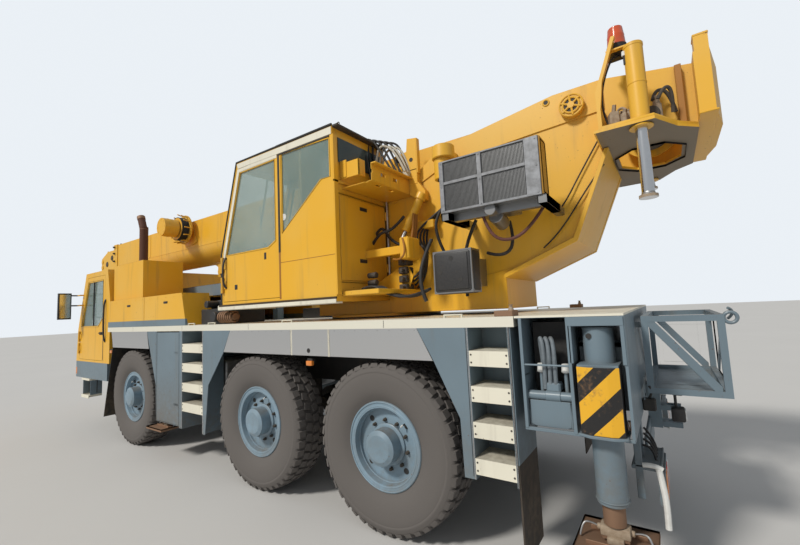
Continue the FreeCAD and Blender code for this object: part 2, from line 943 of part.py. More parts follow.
def jack_guard(side, x):
    half = "guard_width / 2"
    face = block(
        (f"{x} - {half}", f"{x} + {half}"),
        mirrored(side, ("guard_face - skin", "guard_face")),
        ("guard_low", "guard_top"),
    )
    parts = [face]
    for place in (f"{x} - {half}", f"{x} + {half} - skin"):
        parts.append(block(
            (place, f"{place} + skin"),
            mirrored(side, ("jack_place", "guard_face")),
            ("guard_low", "guard_top"),
        ))
    for z in ("guard_low - skin", "guard_top"):
        parts.append(block(
            (f"{x} - {half}", f"{x} + {half}"),
            mirrored(side, ("jack_place - jack_radius / 2", "guard_face")),
            (z, f"{z} + skin"),
        ))
    return parts


def jack_cover(side, x):
    face = block(
        ("box_front", "box_front + box_width"),
        mirrored(side, ("half_width - skin", "half_width")),
        ("cover_low", "cover_top"),
    )
    parts = [face]
    for z in ("beam_low", f"{BEAM_TOP} - beam_wall"):
        parts.append(block(
            (f"{x} - jack_radius", f"{x} + jack_radius"),
            mirrored(side, ("jack_place", "half_width")),
            (z, f"{z} + beam_wall"),
        ))
    return parts


def jack_foot(side, x):
    y = f"{side} * jack_place"
    rod = cylinder("z", (x, y, "jack_rod_low"), "jack_rod", "jack_rod_top - jack_rod_low")
    neck = cylinder("z", (x, y, "pad_low"), "foot_neck", "jack_rod_low - pad_low")
    half = "pad_size / 2"
    reach = (f"{y} - {half}", f"{y} + {half}")
    pad = block((f"{x} - {half}", f"{x} + {half}"), reach, ("pad_low", "pad_low + pad_sheet"))
    yoke = block(
        (f"{x} - 2 * foot_neck", f"{x} + 2 * foot_neck"),
        (f"{y} - foot_neck", f"{y} + foot_neck"),
        ("pad_low + 2 * pad_sheet", "jack_rod_low - pad_sheet / 2"),
    )
    return fuse([rod, neck, pad, yoke])


for end, x in (("rear", "box_rear"), ("front", "box_front")):
    for hand, side in SIDES.items():
        centre = beam_centres(x)[0 if side > 0 else 1]
        extras = jack_guard(side, centre) if end == "rear" else jack_cover(side, centre)
        name(f"beam_{end}_{hand}", outrigger_beam(side, centre, extras))
        name(f"foot_{end}_{hand}", jack_foot(side, centre))


# Engine under its hood, with the intake tower and exhaust pipe
engine = block(
    (ENGINE_REAR, f"{ENGINE_REAR} + engine_length"), ("-engine_half", "engine_half"), ("engine_low", "engine_top")
)
engine_feet = [
    block((x, f"{x} + member_width"), ("rail_width - rail_outer", "rail_outer - rail_width"),
          ("engine_low + member_width", "engine_low + 2 * member_width"))
    for x in (f"{ENGINE_REAR} + member_width", f"{ENGINE_REAR} + engine_length - 2 * member_width")
]
name("engine_block", fuse([engine] + engine_feet))


def hood_outline(inset):
    return [
        (f"hood_rear + {inset}", "deck_top"),
        (f"hood_front - {inset}", "deck_top"),
        (f"hood_front - {inset}", f"hood_top - {inset}"),
        (f"hood_rear + hood_slope + {inset}", f"hood_top - {inset}"),
    ]


hood_shell = cut(
    profile("xz", hood_outline("0"), ("-half_width + skin", "half_width - skin")),
    [
        profile("xz", hood_outline("skin"), ("-half_width + 2 * skin", "half_width - 2 * skin")),
        block(("hood_rear", "notch_front"), ("-notch_half", "notch_half"), ("deck_top", "hood_top")),
    ],
)
tower = cut(
    block(("tower_rear", "tower_front"), ("tower_inner", "tower_outer"), ("hood_top - skin", "tower_top")),
    [block(("tower_rear + skin", "tower_front - skin"), ("tower_inner + skin", "tower_outer - skin"),
           ("hood_top - 2 * skin", "tower_top - skin"))],
)
pipe = cylinder("z", ("pipe_place", "pipe_side", "tower_top"), "pipe_radius", "pipe_top - tower_top")
tip = cylinder("z", ("pipe_place", "pipe_side", "pipe_top - pipe_radius"), "pipe_mouth", "pipe_tip")
tip.Placement.Rotation = FreeCAD.Rotation(FreeCAD.Vector(0, 1, 0), SIZES["pipe_lean"])
name("engine_hood", group([fuse([hood_shell, tower]), fuse([pipe, tip])]))


# Door hinges: a bored barrel on the leaf turns on a pin held by two lugs of the body
def hinges(side, x, face, heights):
    y = f"{side} * ({face} + hinge_barrel)"
    strap = mirrored(side, (face, f"{face} + hinge_barrel / 2"))
    knuckles, bores, posts = [], [], []
    for z in heights:
        knuckles.append(cylinder("z", (x, y, z), "hinge_barrel", "hinge_height"))
        knuckles.append(block((f"{x} - 4 * hinge_barrel", x), strap, (z, f"{z} + hinge_height")))
        bores.append(cylinder("z", (x, y, z), "hinge_pin + bore_play", "hinge_height"))
        low = f"{z} - hinge_height / 2"
        posts.append(cylinder("z", (x, y, low), "hinge_pin", "2 * hinge_height"))
        for start in (low, f"{z} + hinge_height + fit"):
            tall = "hinge_height / 2 - fit"
            posts.append(cylinder("z", (x, y, start), "hinge_barrel", tall))
            posts.append(block((x, f"{x} + 3 * hinge_barrel"), strap, (start, f"{start} + {tall}")))
    return knuckles, bores, posts


# Carrier cab: hollow shell with door openings, windscreen, sill, steps and mirrors
def cab_outline(inset):
    return [
        (f"cab_rear + {inset}", f"cab_low + {inset}"),
        (f"cab_nose - {inset}", f"cab_low + {inset}"),
        (f"cab_waist_front - {inset}", "cab_waist"),
        (f"cab_roof_front - {inset}", f"cab_roof - {inset}"),
        (f"cab_roof_rear + {inset}", f"cab_roof - {inset}"),
        (f"cab_rear + {inset}", "hood_top"),
    ]


def door_outline(inset):
    return [
        (f"cab_door_rear + {inset}", f"cab_low + cab_wall + {inset}"),
        (f"cab_door_front - {inset}", f"cab_low + cab_wall + {inset}"),
        (f"cab_door_front - {inset}", "cab_waist"),
        (f"cab_door_front - cab_door_slope - {inset}", f"cab_door_top - {inset}"),
        (f"cab_door_rear + {inset}", f"cab_door_top - {inset}"),
    ]


def door_window():
    return [
        ("cab_door_rear + cab_pillar", "cab_waist + 2 * cab_pillar"),
        ("cab_door_rear + 3 * cab_pillar", "cab_waist + cab_pillar / 2"),
        ("cab_door_front - cab_pillar", "cab_waist + cab_pillar / 2"),
        ("cab_door_front - cab_door_slope - cab_pillar / 2", "cab_door_top - cab_pillar"),
        ("cab_door_rear + cab_pillar", "cab_door_top - cab_pillar"),
    ]


screen_half = "cab_half - 2 * cab_pillar"
screen_low, screen_high = "cab_waist + cab_pillar / 2", "cab_roof - cab_pillar"
screen_slope = "(cab_waist_front - cab_roof_front) / (cab_roof - cab_waist)"


def screen_x(z, inset):
    return f"cab_waist_front - ({z} - cab_waist) * {screen_slope} - {inset}"


cab_cuts = [
    profile("xz", cab_outline("cab_wall"), ("-cab_half + cab_wall", "cab_half - cab_wall")),
    block(("cab_roof_front - 4 * cab_wall", "cab_nose"), (f"-({screen_half})", screen_half), (screen_low, screen_high)),
]
for side in SIDES.values():
    cab_cuts.append(
        profile("xz", door_outline("0"), mirrored(side, ("cab_half - cab_wall", "cab_half")))
    )
cab_hollow = cut(profile("xz", cab_outline("0"), ("-cab_half", "cab_half")), cab_cuts)
CAB_HINGES = ("cab_low + 2 * hinge_height", "cab_waist - 2 * hinge_height")
cab_posts = []
name("cab_glass", profile("xz", [
    (screen_x(screen_low, "cab_wall / 2"), screen_low),
    (screen_x(screen_low, "cab_wall / 4"), screen_low),
    (screen_x(screen_high, "cab_wall / 4"), screen_high),
    (screen_x(screen_high, "cab_wall / 2"), screen_high),
], (f"-({screen_half})", screen_half)))
for hand, side in SIDES.items():
    leaf = profile("xz", door_outline("clearance"), mirrored(side, ("cab_half - cab_wall", "cab_half")))
    pane = profile("xz", door_window(), mirrored(side, ("cab_half - cab_wall", "cab_half")))
    knuckles, bores, posts = hinges(side, "cab_door_front", "cab_half", CAB_HINGES)
    name(f"cab_door_{hand}", cut(fuse([cut(leaf, [pane])] + knuckles), bores))
    cab_posts += posts

sill_parts = [
    block(("cab_rear + 2 * cab_wall", "cab_nose - skin"), ("-cab_half", "cab_half"), ("cab_sill_low", "cab_low"))
]
for side in SIDES.values():
    along = ("cab_step_place", "cab_step_place + cab_step_width")
    for place in ("cab_step_place", "cab_step_place + cab_step_width - skin"):
        sill_parts.append(block(
            (place, f"{place} + skin"),
            mirrored(side, ("cab_half - cab_step_width / 2", "cab_half")),
            ("cab_step_low", "cab_sill_low"),
        ))
    sill_parts.append(block(
        along, mirrored(side, ("cab_half - cab_step_width / 2", "cab_half")),
        ("cab_step_low - 2 * skin", "cab_step_low"),
    ))
nose_slot = block(
    ("cab_rear", "nose_front"), ("-rail_outer", "rail_outer"), ("cab_sill_low", "nose_high")
)
name("cab_sill", cut(fuse(sill_parts), [nose_slot]))
mirrors = []
for side in SIDES.values():
    across = mirrored(side, ("mirror_side - mirror_width / 2", "mirror_side + mirror_width / 2"))
    glass = block(("mirror_place - mirror_depth", "mirror_place"), across, ("mirror_low", "mirror_top"))
    arms = []
    bend = f"{side} * (cab_half + 4 * mirror_arm)"
    for z in ("mirror_arm_low", "mirror_arm_top"):
        arms.append(cross_bar(
            "mirror_arm_place", z, "mirror_arm", mirrored(side, ("cab_half - mirror_arm", "cab_half + 5 * mirror_arm"))
        ))
        run = "mirror_place - mirror_depth / 2 - mirror_arm_place"
        arms.append(cylinder("x", ("mirror_arm_place", bend, z), "mirror_arm", run))
        arms.append(cross_bar(
            "mirror_place - mirror_depth / 2", z, "mirror_arm",
            mirrored(side, ("cab_half + 4 * mirror_arm", "mirror_side")),
        ))
    mirrors.append(fuse([glass] + arms))
name("cab_shell", group([fuse([cab_hollow] + cab_posts)] + mirrors))


def seat(x, y, z, width):
    """A seat on its pedestal, with the front of its back above place x and its foot at height z."""
    wide = (f"{y} - {width} / 2", f"{y} + {width} / 2")
    narrow = (f"{y} - {width} / 4", f"{y} + {width} / 4")
    foot = f"{x} + pedestal_place"
    top = f"{z} + seat_height"
    behind = f"{x} - seat_back_lap"
    back_low = f"{top} + seat_back_lift"
    return fuse([
        block((foot, f"{foot} + pedestal_length"), narrow, (z, top)),
        block((x, f"{x} + seat_length"), wide, (top, f"{top} + seat_pad")),
        block((behind, f"{behind} + seat_back"), wide, (back_low, f"{back_low} + seat_back_height")),
    ])


name("cab_seats", group([
    seat("cab_rear + cab_seat_place", f"{side} * cab_seat_side", "cab_low + cab_wall", "cab_seat_width")
    for side in SIDES.values()
]))


# Boom rest on the hood and its two rear legs, and the basket, lamps and tow coupling at the rear
rest_parts = [block(("rest_rear", "rest_front"), ("-rest_half", "rest_half"), ("hood_top", "rest_top"))]
for side in SIDES.values():
    rest_parts.append(block(
        ("rest_rear", "rest_rear + rest_leg"), mirrored(side, ("rest_half - rest_leg", "rest_half")),
        ("deck_top", "hood_top"),
    ))
name("boom_rest", fuse(rest_parts))

basket_parts = []
for x in ("basket_rear", "basket_front - basket_bar"):
    for side in SIDES.values():
        basket_parts.append(block(
            (x, f"{x} + basket_bar"), mirrored(side, ("basket_side - basket_bar", "basket_side")),
            ("basket_low", "basket_top"),
        ))
for z in ("basket_low", "basket_top - basket_bar"):
    tall = (z, f"{z} + basket_bar")
    for side in SIDES.values():
        across = mirrored(side, ("basket_side - basket_bar", "basket_side"))
        basket_parts.append(block(("basket_rear", "basket_front"), across, tall))
    for x in ("basket_rear", "basket_front - basket_bar"):
        basket_parts.append(block((x, f"{x} + basket_bar"), ("-basket_side", "basket_side"), tall))
basket_parts.append(
    block(("basket_rear", "basket_front"), ("-basket_side", "basket_side"), ("basket_low", "basket_low + skin"))
)
for side in SIDES.values():
    basket_parts.append(block(
        ("basket_front - basket_bar", "box_rear"),
        mirrored(side, ("basket_side - 2 * basket_bar", "basket_side - basket_bar")),
        ("basket_top - 2 * basket_bar", "basket_top - basket_bar"),
    ))
name("rear_basket", fuse(basket_parts))

hitch_parts = [block(
    ("hitch_place + hitch_back", "box_rear"), ("-hitch_half", "hitch_half"),
    ("hitch_height - hitch_drop", "box_low + hitch_rise"),
)]
for up in (1, -1):
    low, high = mirrored(up, ("jaw_gap", "jaw_gap + jaw_wall"))
    hitch_parts.append(block(
        ("hitch_place - hitch_half", "hitch_place + jaw_front"), ("-jaw_half", "jaw_half"),
        (f"hitch_height + ({low})", f"hitch_height + ({high})"),
    ))
hitch_bore = cylinder("z", ("hitch_place", "0", "hitch_height - hitch_drop"), "hitch_pin", "2 * hitch_drop")
lamp_parts = []
for side in SIDES.values():
    lamp_back = "box_rear - lamp_place"
    lamp_parts.append(fuse([
        block((lamp_back, f"{lamp_back} + lamp_depth"), mirrored(side, ("lamp_inner", "lamp_outer")),
              ("lamp_low", "lamp_top")),
        block((f"{lamp_back} + skin", "box_rear + lamp_wing"),
              mirrored(side, ("lamp_inner - skin", "lamp_outer + skin")), ("lamp_top", "lamp_top + box_wall")),
        block(("box_rear", "box_rear + box_wall"), mirrored(side, ("lamp_strap", "lamp_strap + lamp_strap_width")),
              ("lamp_top", "box_low")),
    ]))
name("rear_fittings", group(lamp_parts + [cut(fuse(hitch_parts), [hitch_bore])]))


# Upper frame: two cheeks on the slewing base, tail sheet, bosses and cab platform
CHEEK_TOP = "winch_height + winch_cover"
BOSS_TOP = "luff_height + boss_cover"
TAIL_LOW = "(winch_height - tail_drop)"
RIB_TOP = f"({TAIL_LOW} + tail_rib)"
BLOCK_LOW = f"({TAIL_LOW} + tail_block_lift)"
BLOCK_TOP = f"({BLOCK_LOW} + tail_block_tall)"
BALLAST_TOP = f"({TAIL_LOW} + ballast_tube)"
BALLAST_FOOT = f"({TAIL_LOW} - ballast_hang)"
STRIP_TOP = f"({RIB_TOP} + strip_rise)"
BEACON_TOP = f"({RIB_TOP} + beacon_rise)"
CHEEK = [
    ("cheek_knee", "race_top"),
    ("cheek_knee", "cheek_knee_height"),
    ("cheek_low_back", "cheek_low_back_height"),
    ("cheek_rear", TAIL_LOW),
    ("tail_block_front", TAIL_LOW),
    ("tail_block_front", f"{CHEEK_TOP} - cheek_drop"),
    ("cheek_rear", CHEEK_TOP),
    ("luff_place - boss_radius", BOSS_TOP),
    ("luff_place + boss_lap", BOSS_TOP),
    ("cheek_slope_place", "luff_height"),
    ("cc_rear - cheek_gap", "cheek_slope_height"),
    ("slew_place + cheek_toe", "cheek_toe_height"),
    ("cheek_front", "cheek_front_height"),
    ("cheek_front", "race_top"),
]
CHEEK_FACE = "cheek_inner + cheek_wall"
upper = []
for side in SIDES.values():
    upper.append(profile("xz", CHEEK, mirrored(side, ("cheek_inner", CHEEK_FACE))))
    upper.append(cross_bar(
        "luff_place", "luff_height", "boss_radius", mirrored(side, ("cheek_inner", f"{CHEEK_FACE} + boss_width"))
    ))
upper.append(block(
    ("cheek_knee", "cheek_front"), (f"-({CHEEK_FACE})", CHEEK_FACE), ("race_top", "race_top + base_plate")
))
race = cut(
    cylinder("z", ("slew_place", "0", f"{FRAME_TOP} + race_height + fit"), "ring_radius",
             f"race_top - ({FRAME_TOP} + race_height + fit)"),
    [cylinder("z", ("slew_place", "0", f"{FRAME_TOP} + race_height"), "ring_bore", "race_top - deck_top")],
)
upper.append(race)
upper.append(profile("xz", [
    ("cheek_knee", "cheek_knee_height"),
    ("cheek_low_back", "cheek_low_back_height"),
    ("cheek_rear", TAIL_LOW),
    ("cheek_rear + 2 * skin", TAIL_LOW),
    ("cheek_low_back + 2 * skin", "cheek_low_back_height + skin"),
    ("cheek_knee + 2 * skin", "cheek_knee_height + skin"),
    ("cheek_knee + 2 * skin", "race_top"),
    ("cheek_knee", "race_top"),
], ("-cheek_inner", "cheek_inner")))
tail_plate = profile("xy", [
    ("cheek_rear + 2 * cheek_wall", "tail_side"),
    ("tail_block_front + tail_corner", "tail_side"),
    ("tail_block_front + tail_corner / 2", "tail_block_half"),
    ("tail_block_front", "tail_neck"),
    ("tail_block_front", "-tail_neck"),
    ("tail_block_front + tail_corner / 2", "-tail_block_half"),
    ("tail_block_front + tail_corner", "-tail_side"),
    ("cheek_rear + 2 * cheek_wall", "-tail_side"),
], (TAIL_LOW, f"{TAIL_LOW} + tail_sheet"))
tail_opening = profile("xy", [
    ("cheek_rear - tail_hole_lap", "tail_hole / 2"),
    ("cheek_rear - tail_hole_lap - tail_hole_corner", "tail_hole"),
    ("tail_block_front + tail_hole_back + tail_hole_corner", "tail_hole"),
    ("tail_block_front + tail_hole_back", "tail_hole / 2"),
    ("tail_block_front + tail_hole_back", "-tail_hole / 2"),
    ("tail_block_front + tail_hole_back + tail_hole_corner", "-tail_hole"),
    ("cheek_rear - tail_hole_lap - tail_hole_corner", "-tail_hole"),
    ("cheek_rear - tail_hole_lap", "-tail_hole / 2"),
], (TAIL_LOW, f"{TAIL_LOW} + tail_sheet"))
upper.append(tail_plate)
RIB_SIDE = "tail_side - ballast_radius"
for side in SIDES.values():
    upper.append(block(
        ("cheek_rear", "cheek_rear + cheek_wall"),
        mirrored(side, ("cheek_inner", RIB_SIDE)),
        (TAIL_LOW, RIB_TOP),
    ))
    place = ("ballast_place", f"{side} * ballast_side", TAIL_LOW)
    upper.append(cylinder("z", place, "ballast_radius", f"{BALLAST_TOP} - {TAIL_LOW}"))
BEACON_FOOT = f"{BEACON_TOP} - beacon_height"
upper.append(profile("xz", [
    ("cheek_rear", f"{RIB_TOP} - strip_lap"),
    ("cheek_rear + cheek_wall", f"{RIB_TOP} - strip_lap"),
    ("cheek_rear + cheek_wall", f"{RIB_TOP} + strip_width"),
    ("beacon_place + strip_width", STRIP_TOP),
    ("beacon_place", STRIP_TOP),
    ("cheek_rear - strip_width", f"{RIB_TOP} + strip_lap"),
], (f"{RIB_SIDE} - 2 * strip_width", RIB_SIDE)))
upper.append(block(
    ("beacon_place - beacon_radius", "beacon_place + beacon_radius"),
    ("beacon_side - beacon_radius", f"{RIB_SIDE} - strip_width"),
    (f"{BEACON_FOOT} - skin", BEACON_FOOT),
))
upper.append(cylinder("z", ("beacon_place", "beacon_side", BEACON_FOOT), "beacon_radius", "beacon_base"))
beacon_lens = doc.addObject("Part::Cone", "Lens")
bind(beacon_lens, Radius1="beacon_lens", Radius2="beacon_lens_top", Height="beacon_height - beacon_base")
bind(beacon_lens, Placement__Base__x=station("beacon_place"), Placement__Base__y="beacon_side",
     Placement__Base__z=f"{BEACON_FOOT} + beacon_base")
upper.append(beacon_lens)
upper.append(block(
    ("cc_rear", "cc_front + 2 * cc_wall"), (CHEEK_FACE, "cc_outer + skin"), ("cc_low - sill_height", "cc_low")
))
for side in SIDES.values():
    lug = mirrored(side, ("ram_half + clearance", "ram_half + clearance + lug_wall"))
    upper.append(block(
        ("ram_base_place - ram_eye", "ram_base_place + ram_eye"), lug, ("race_top", "ram_base_height + ram_eye")
    ))
upper.append(cross_bar("ram_base_place", "ram_base_height", "ram_pin", (
    "-ram_half - clearance - lug_wall", "ram_half + clearance + lug_wall")))
PIN_SPAN = (f"-({CHEEK_FACE} + boss_width)", f"{CHEEK_FACE} + boss_width")
upper_cuts = [
    tail_opening,
    cross_bar("luff_place", "luff_height", "luff_pin + bore_play", PIN_SPAN),
    cross_bar("winch_place", "winch_height", "luff_pin + bore_play", PIN_SPAN),
]
for side in SIDES.values():
    place = ("ballast_place", f"{side} * ballast_side", TAIL_LOW)
    upper_cuts.append(cylinder("z", place, "ballast_rod + bore_play", f"{BALLAST_TOP} - {TAIL_LOW} - skin"))
name("upper_frame", cut(fuse(upper), upper_cuts))
weight = [profile("xy", [
    ("tail_block_front", "tail_block_half"),
    ("tail_rear + tail_nose", "tail_block_half"),
    ("tail_rear", "tail_nose_half"),
    ("tail_rear", "-tail_nose_half"),
    ("tail_rear + tail_nose", "-tail_block_half"),
    ("tail_block_front", "-tail_block_half"),
], (BLOCK_LOW, BLOCK_TOP))]
for side in SIDES.values():
    weight.append(block(
        ("tail_rear + tail_nose", "tail_block_front - skin"),
        mirrored(side, ("tail_block_half - tail_cap_width", "tail_block_half")),
        (f"{BLOCK_TOP} - skin", f"{BLOCK_TOP} + tail_cap"),
    ))
name("tail_weight", fuse(weight))


def ballast_piston(side, foot):
    y = f"{side} * ballast_side"
    rod = cylinder("z", ("ballast_place", y, foot), "ballast_rod", "ballast_rod_length")
    disc = cylinder("z", ("ballast_place", y, foot), "ballast_disc", "2 * skin")
    return fuse([rod, disc])


name("ballast_rod_left", ballast_piston(1, f"{BALLAST_FOOT} - ballast_reach"))
name("ballast_rod_right", ballast_piston(-1, BALLAST_FOOT))

drum = [cross_bar("winch_place", "winch_height", "drum_core", ("-drum_half", "drum_half"))]
for side in SIDES.values():
    rim_span = mirrored(side, ("drum_half - 2 * skin", "drum_half"))
    drum.append(cross_bar("winch_place", "winch_height", "drum_flange", rim_span))
drum.append(cross_bar("winch_place", "winch_height", "luff_pin", (f"-({CHEEK_FACE})", CHEEK_FACE)))
name("winch_drum", fuse(drum))


# Crane cab on its sill, with cabinet, door, panes and seat
def cc_outline(inset):
    return [
        (f"cc_rear + {inset}", f"cc_low + {inset}"),
        (f"cc_front - {inset}", f"cc_low + {inset}"),
        (f"cc_front - {inset}", "cc_waist"),
        (f"cc_roof_front - {inset}", f"cc_roof_front_height - {inset}"),
        (f"cc_rear + {inset}", f"cc_roof_rear_height - {inset}"),
    ]


def cc_door(inset):
    return [
        (f"cc_split + {inset}", f"cc_low + cc_wall + {inset}"),
        (f"cc_front - cc_wall - {inset}", f"cc_low + cc_wall + {inset}"),
        (f"cc_front - cc_wall - {inset}", "cc_waist"),
        (f"cc_roof_front - {inset}", f"cc_roof_rear_height - cc_wall - {inset}"),
        (f"cc_split + {inset}", f"cc_roof_rear_height - cc_wall - {inset}"),
    ]


CC_DOOR_PANE = [
    ("cc_split + 2 * cc_wall", "cc_window_low + 2 * cc_wall"),
    ("cc_split + 6 * cc_wall", "cc_window_low"),
    ("cc_front - 3 * cc_wall", "cc_window_low"),
    ("cc_roof_front - 2 * cc_wall", "cc_roof_rear_height - 4 * cc_wall"),
    ("cc_split + 2 * cc_wall", "cc_roof_rear_height - 4 * cc_wall"),
]
CC_REAR_PANE = [
    ("cc_split - 2 * cc_wall", "cc_window_low + 4 * cc_wall"),
    ("cc_split - 2 * cc_wall", "cc_roof_rear_height - 3 * cc_wall"),
    ("cc_rear + 3 * cc_wall / 2", "cc_roof_rear_height - 4 * cc_wall"),
    ("cc_rear + 3 * cc_wall / 2", "cc_window_rear_low"),
    ("cc_rear + 11 * cc_wall / 2", "cc_window_rear_low"),
]
CC_RIGHT_PANE = [
    ("cc_cabinet + 2 * cc_wall", "cc_window_low"),
    ("cc_front - 4 * cc_wall", "cc_window_low"),
    ("cc_roof_front - 2 * cc_wall", "cc_roof_rear_height - 4 * cc_wall"),
    ("cc_cabinet + 2 * cc_wall", "cc_roof_rear_height - 4 * cc_wall"),
]
outer_wall = ("cc_outer - cc_wall", "cc_outer")
inner_wall = ("cc_inner", "cc_inner + cc_wall")
pane_span = ("cc_inner + 2 * cc_wall", "cc_outer - 2 * cc_wall")
cc_glass_low, cc_glass_high = "cc_window_low + cc_wall", "cc_roof_front_height - 3 * cc_wall"
cc_slope = "(cc_front - cc_roof_front) / (cc_roof_front_height - cc_waist)"


def cc_front_x(z, inset):
    return f"cc_front - ({z} - cc_waist) * {cc_slope} - {inset}"


cc_hollow = cut(
    profile("xz", cc_outline("cc_wall"), ("cc_inner + cc_wall", "cc_outer - cc_wall")),
    [block(("cc_cabinet", "cc_cabinet + cc_wall"), ("cc_inner", "cc_outer"), ("cc_low", "cc_roof_front_height"))],
)
cc_cuts = [
    cc_hollow,
    profile("xz", cc_door("0"), outer_wall),
    profile("xz", CC_REAR_PANE, outer_wall),
    profile("xz", CC_RIGHT_PANE, inner_wall),
    block(("cc_roof_front - 3 * cc_wall", "cc_front"), pane_span, (cc_glass_low, cc_glass_high)),
    block(("cc_front - 2 * cc_wall", "cc_front"), pane_span, ("cc_low + 2 * cc_wall", "cc_waist - cc_wall")),
]
CC_HINGES = ("cc_low + 2 * hinge_height", "cc_waist - 2 * hinge_height")
cc_knuckles, cc_bores, cc_posts = hinges(1, "cc_front - cc_wall", "cc_outer", CC_HINGES)
name("crane_cab", fuse([cut(profile("xz", cc_outline("0"), ("cc_inner", "cc_outer")), cc_cuts)] + cc_posts))
thin_outer = ("cc_outer - cc_wall / 2", "cc_outer - cc_wall / 3")
thin_inner = ("cc_inner + cc_wall / 3", "cc_inner + cc_wall / 2")
name("crane_cab_glass", group([
    profile("xz", CC_REAR_PANE, thin_outer),
    profile("xz", CC_RIGHT_PANE, thin_inner),
    profile("xz", [
        (cc_front_x(cc_glass_low, "cc_wall / 2"), cc_glass_low),
        (cc_front_x(cc_glass_low, "cc_wall / 4"), cc_glass_low),
        (cc_front_x(cc_glass_high, "cc_wall / 4"), cc_glass_high),
        (cc_front_x(cc_glass_high, "cc_wall / 2"), cc_glass_high),
    ], pane_span),
    block(("cc_front - cc_wall / 2", "cc_front - cc_wall / 3"), pane_span,
          ("cc_low + 2 * cc_wall", "cc_waist - cc_wall")),
]))
cc_leaf = cut(profile("xz", cc_door("clearance"), outer_wall), [profile("xz", CC_DOOR_PANE, outer_wall)])
name("crane_cab_door", cut(fuse([cc_leaf] + cc_knuckles), cc_bores))
name("operator_seat", seat(
    "cc_cabinet + operator_seat_place", "(cc_inner + cc_outer) / 2", "cc_low + cc_wall", "operator_seat_width"
))


# Oil cooler on its arms, and the valve cover below it
cooler_box = block(
    ("cooler_rear", "cooler_front"), ("cooler_face - cooler_depth", "cooler_face"), ("cooler_low", "cooler_top")
)
cooler_arms = [
    block((x, f"{x} + cooler_arm"), (CHEEK_FACE, "cooler_face"), ("cooler_low - cooler_arm", "cooler_low"))
    for x in ("cooler_rear - cooler_lap", "cooler_front - cooler_arm")
]
cooler_motor = cross_bar(
    "(cooler_rear + cooler_front) / 2", "(cooler_low + cooler_top) / 2", "cooler_motor",
    (CHEEK_FACE, "cooler_face - cooler_depth"),
)
cooler_rail = block(
    ("cooler_rear - cooler_lap", "cooler_front"),
    ("cooler_face - cooler_depth", "cooler_face - cooler_depth + cooler_arm"),
    ("cooler_low - cooler_arm", "cooler_low"),
)
cooler = fuse([cooler_box, cooler_motor, cooler_rail] + cooler_arms)
valve_cover = block(
    ("valve_rear", "valve_front"), ("valve_face - valve_depth", "valve_face"), ("valve_low", "valve_top")
)
valve_neck = block(
    ("valve_rear + valve_neck", "valve_front - valve_neck"), (CHEEK_FACE, "valve_face - valve_depth / 2"),
    ("valve_low + valve_neck", "valve_top - valve_neck"),
)
name("oil_cooler", group([cooler, fuse([valve_cover, valve_neck])]))


# Telescopic boom: box sections with a round lower shell, nested with equal gaps
SHELL_CENTRE = "boom_low + boom_half"


def boom_shape(step, run, inset):
    half = f"(boom_half - {step} * boom_step - {inset})"
    top = f"boom_top - {step} * boom_step - {inset}"
    low, high = run
    return [
        block(run, (f"-{half}", half), (SHELL_CENTRE, top)),
        cylinder("x", (low, "0", SHELL_CENTRE), half, f"({high}) - ({low})"),
    ]


def boom_tube(step, run):
    """A hollow section with slide pads at its tail that bear on the section round it."""
    tube = cut(fuse(boom_shape(step, run, "0")), boom_shape(step, run, "boom_wall"))
    half = f"boom_half - {step} * boom_step"
    top = f"boom_top - {step} * boom_step"
    reach = "boom_step - boom_wall - fit"
    back = run[0]
    along = (f"{back}", f"{back} + pad_length")
    pads = [block(along, ("-pad_width", "pad_width"), (f"{top} - boom_wall / 2", f"{top} + {reach}"))]
    for side in SIDES.values():
        across = mirrored(side, (f"{half} - boom_wall / 2", f"{half} + {reach}"))
        pads.append(block(along, across, (f"{SHELL_CENTRE}", f"{SHELL_CENTRE} + 2 * pad_width")))
    return fuse([tube] + pads)


def boom_run(step):
    back = f"boom_rear + {step} * boom_tail_gap"
    return (back, f"boom_front + {step} * boom_show")


base_run = ("boom_rear", "boom_front")
base_parts = boom_shape(0, base_run, "0")
base_parts += boom_shape(0, ("boom_front - collar_length", "boom_front"), "-collar_wall")
foot = [
    ("luff_place", "luff_height + foot_top"),
    ("boom_rear + foot_reach", "boom_top"),
    ("boom_rear + foot_reach", SHELL_CENTRE),
    ("boom_rear", SHELL_CENTRE),
    ("luff_place", "luff_height - foot_low"),
]
for side in SIDES.values():
    cheek = mirrored(side, ("boom_half - boom_wall", "boom_half + foot_wall"))
    base_parts.append(profile("xz", foot, cheek))
    base_parts.append(cross_bar(
        "luff_place", "luff_height", "foot_radius", mirrored(side, ("boom_half - foot_boss", "cheek_inner - fit"))
    ))
base_cuts = boom_shape(0, base_run, "boom_wall")
luff_pin_bar = cross_bar("luff_place", "luff_height", "luff_pin", PIN_SPAN)
lugs = []
for side in SIDES.values():
    lug = mirrored(side, ("ram_half + clearance", "ram_half + clearance + lug_wall"))
    lugs.append(profile("xz", [
        ("ram_eye_place - 2 * ram_eye", "boom_low + 4 * boom_wall"),
        ("ram_eye_place - ram_eye", "ram_eye_height - ram_eye"),
        ("ram_eye_place + ram_eye", "ram_eye_height - ram_eye"),
        ("ram_eye_place + ram_eye", "boom_low - boom_wall"),
        ("ram_eye_place + 4 * ram_eye", "boom_low + 4 * boom_wall"),
    ], lug))
    lugs.append(cross_bar("ram_eye_place", "ram_eye_height", "ram_pin", mirrored(
        side, ("ram_half + clearance", "ram_half + clearance + 2 * lug_wall")
    )))
base_shell = cut(fuse(base_parts + lugs), base_cuts)
REEL_FACE = "boom_half + reel_gap"
REEL_END = f"{REEL_FACE} + reel_flange + reel_drum"
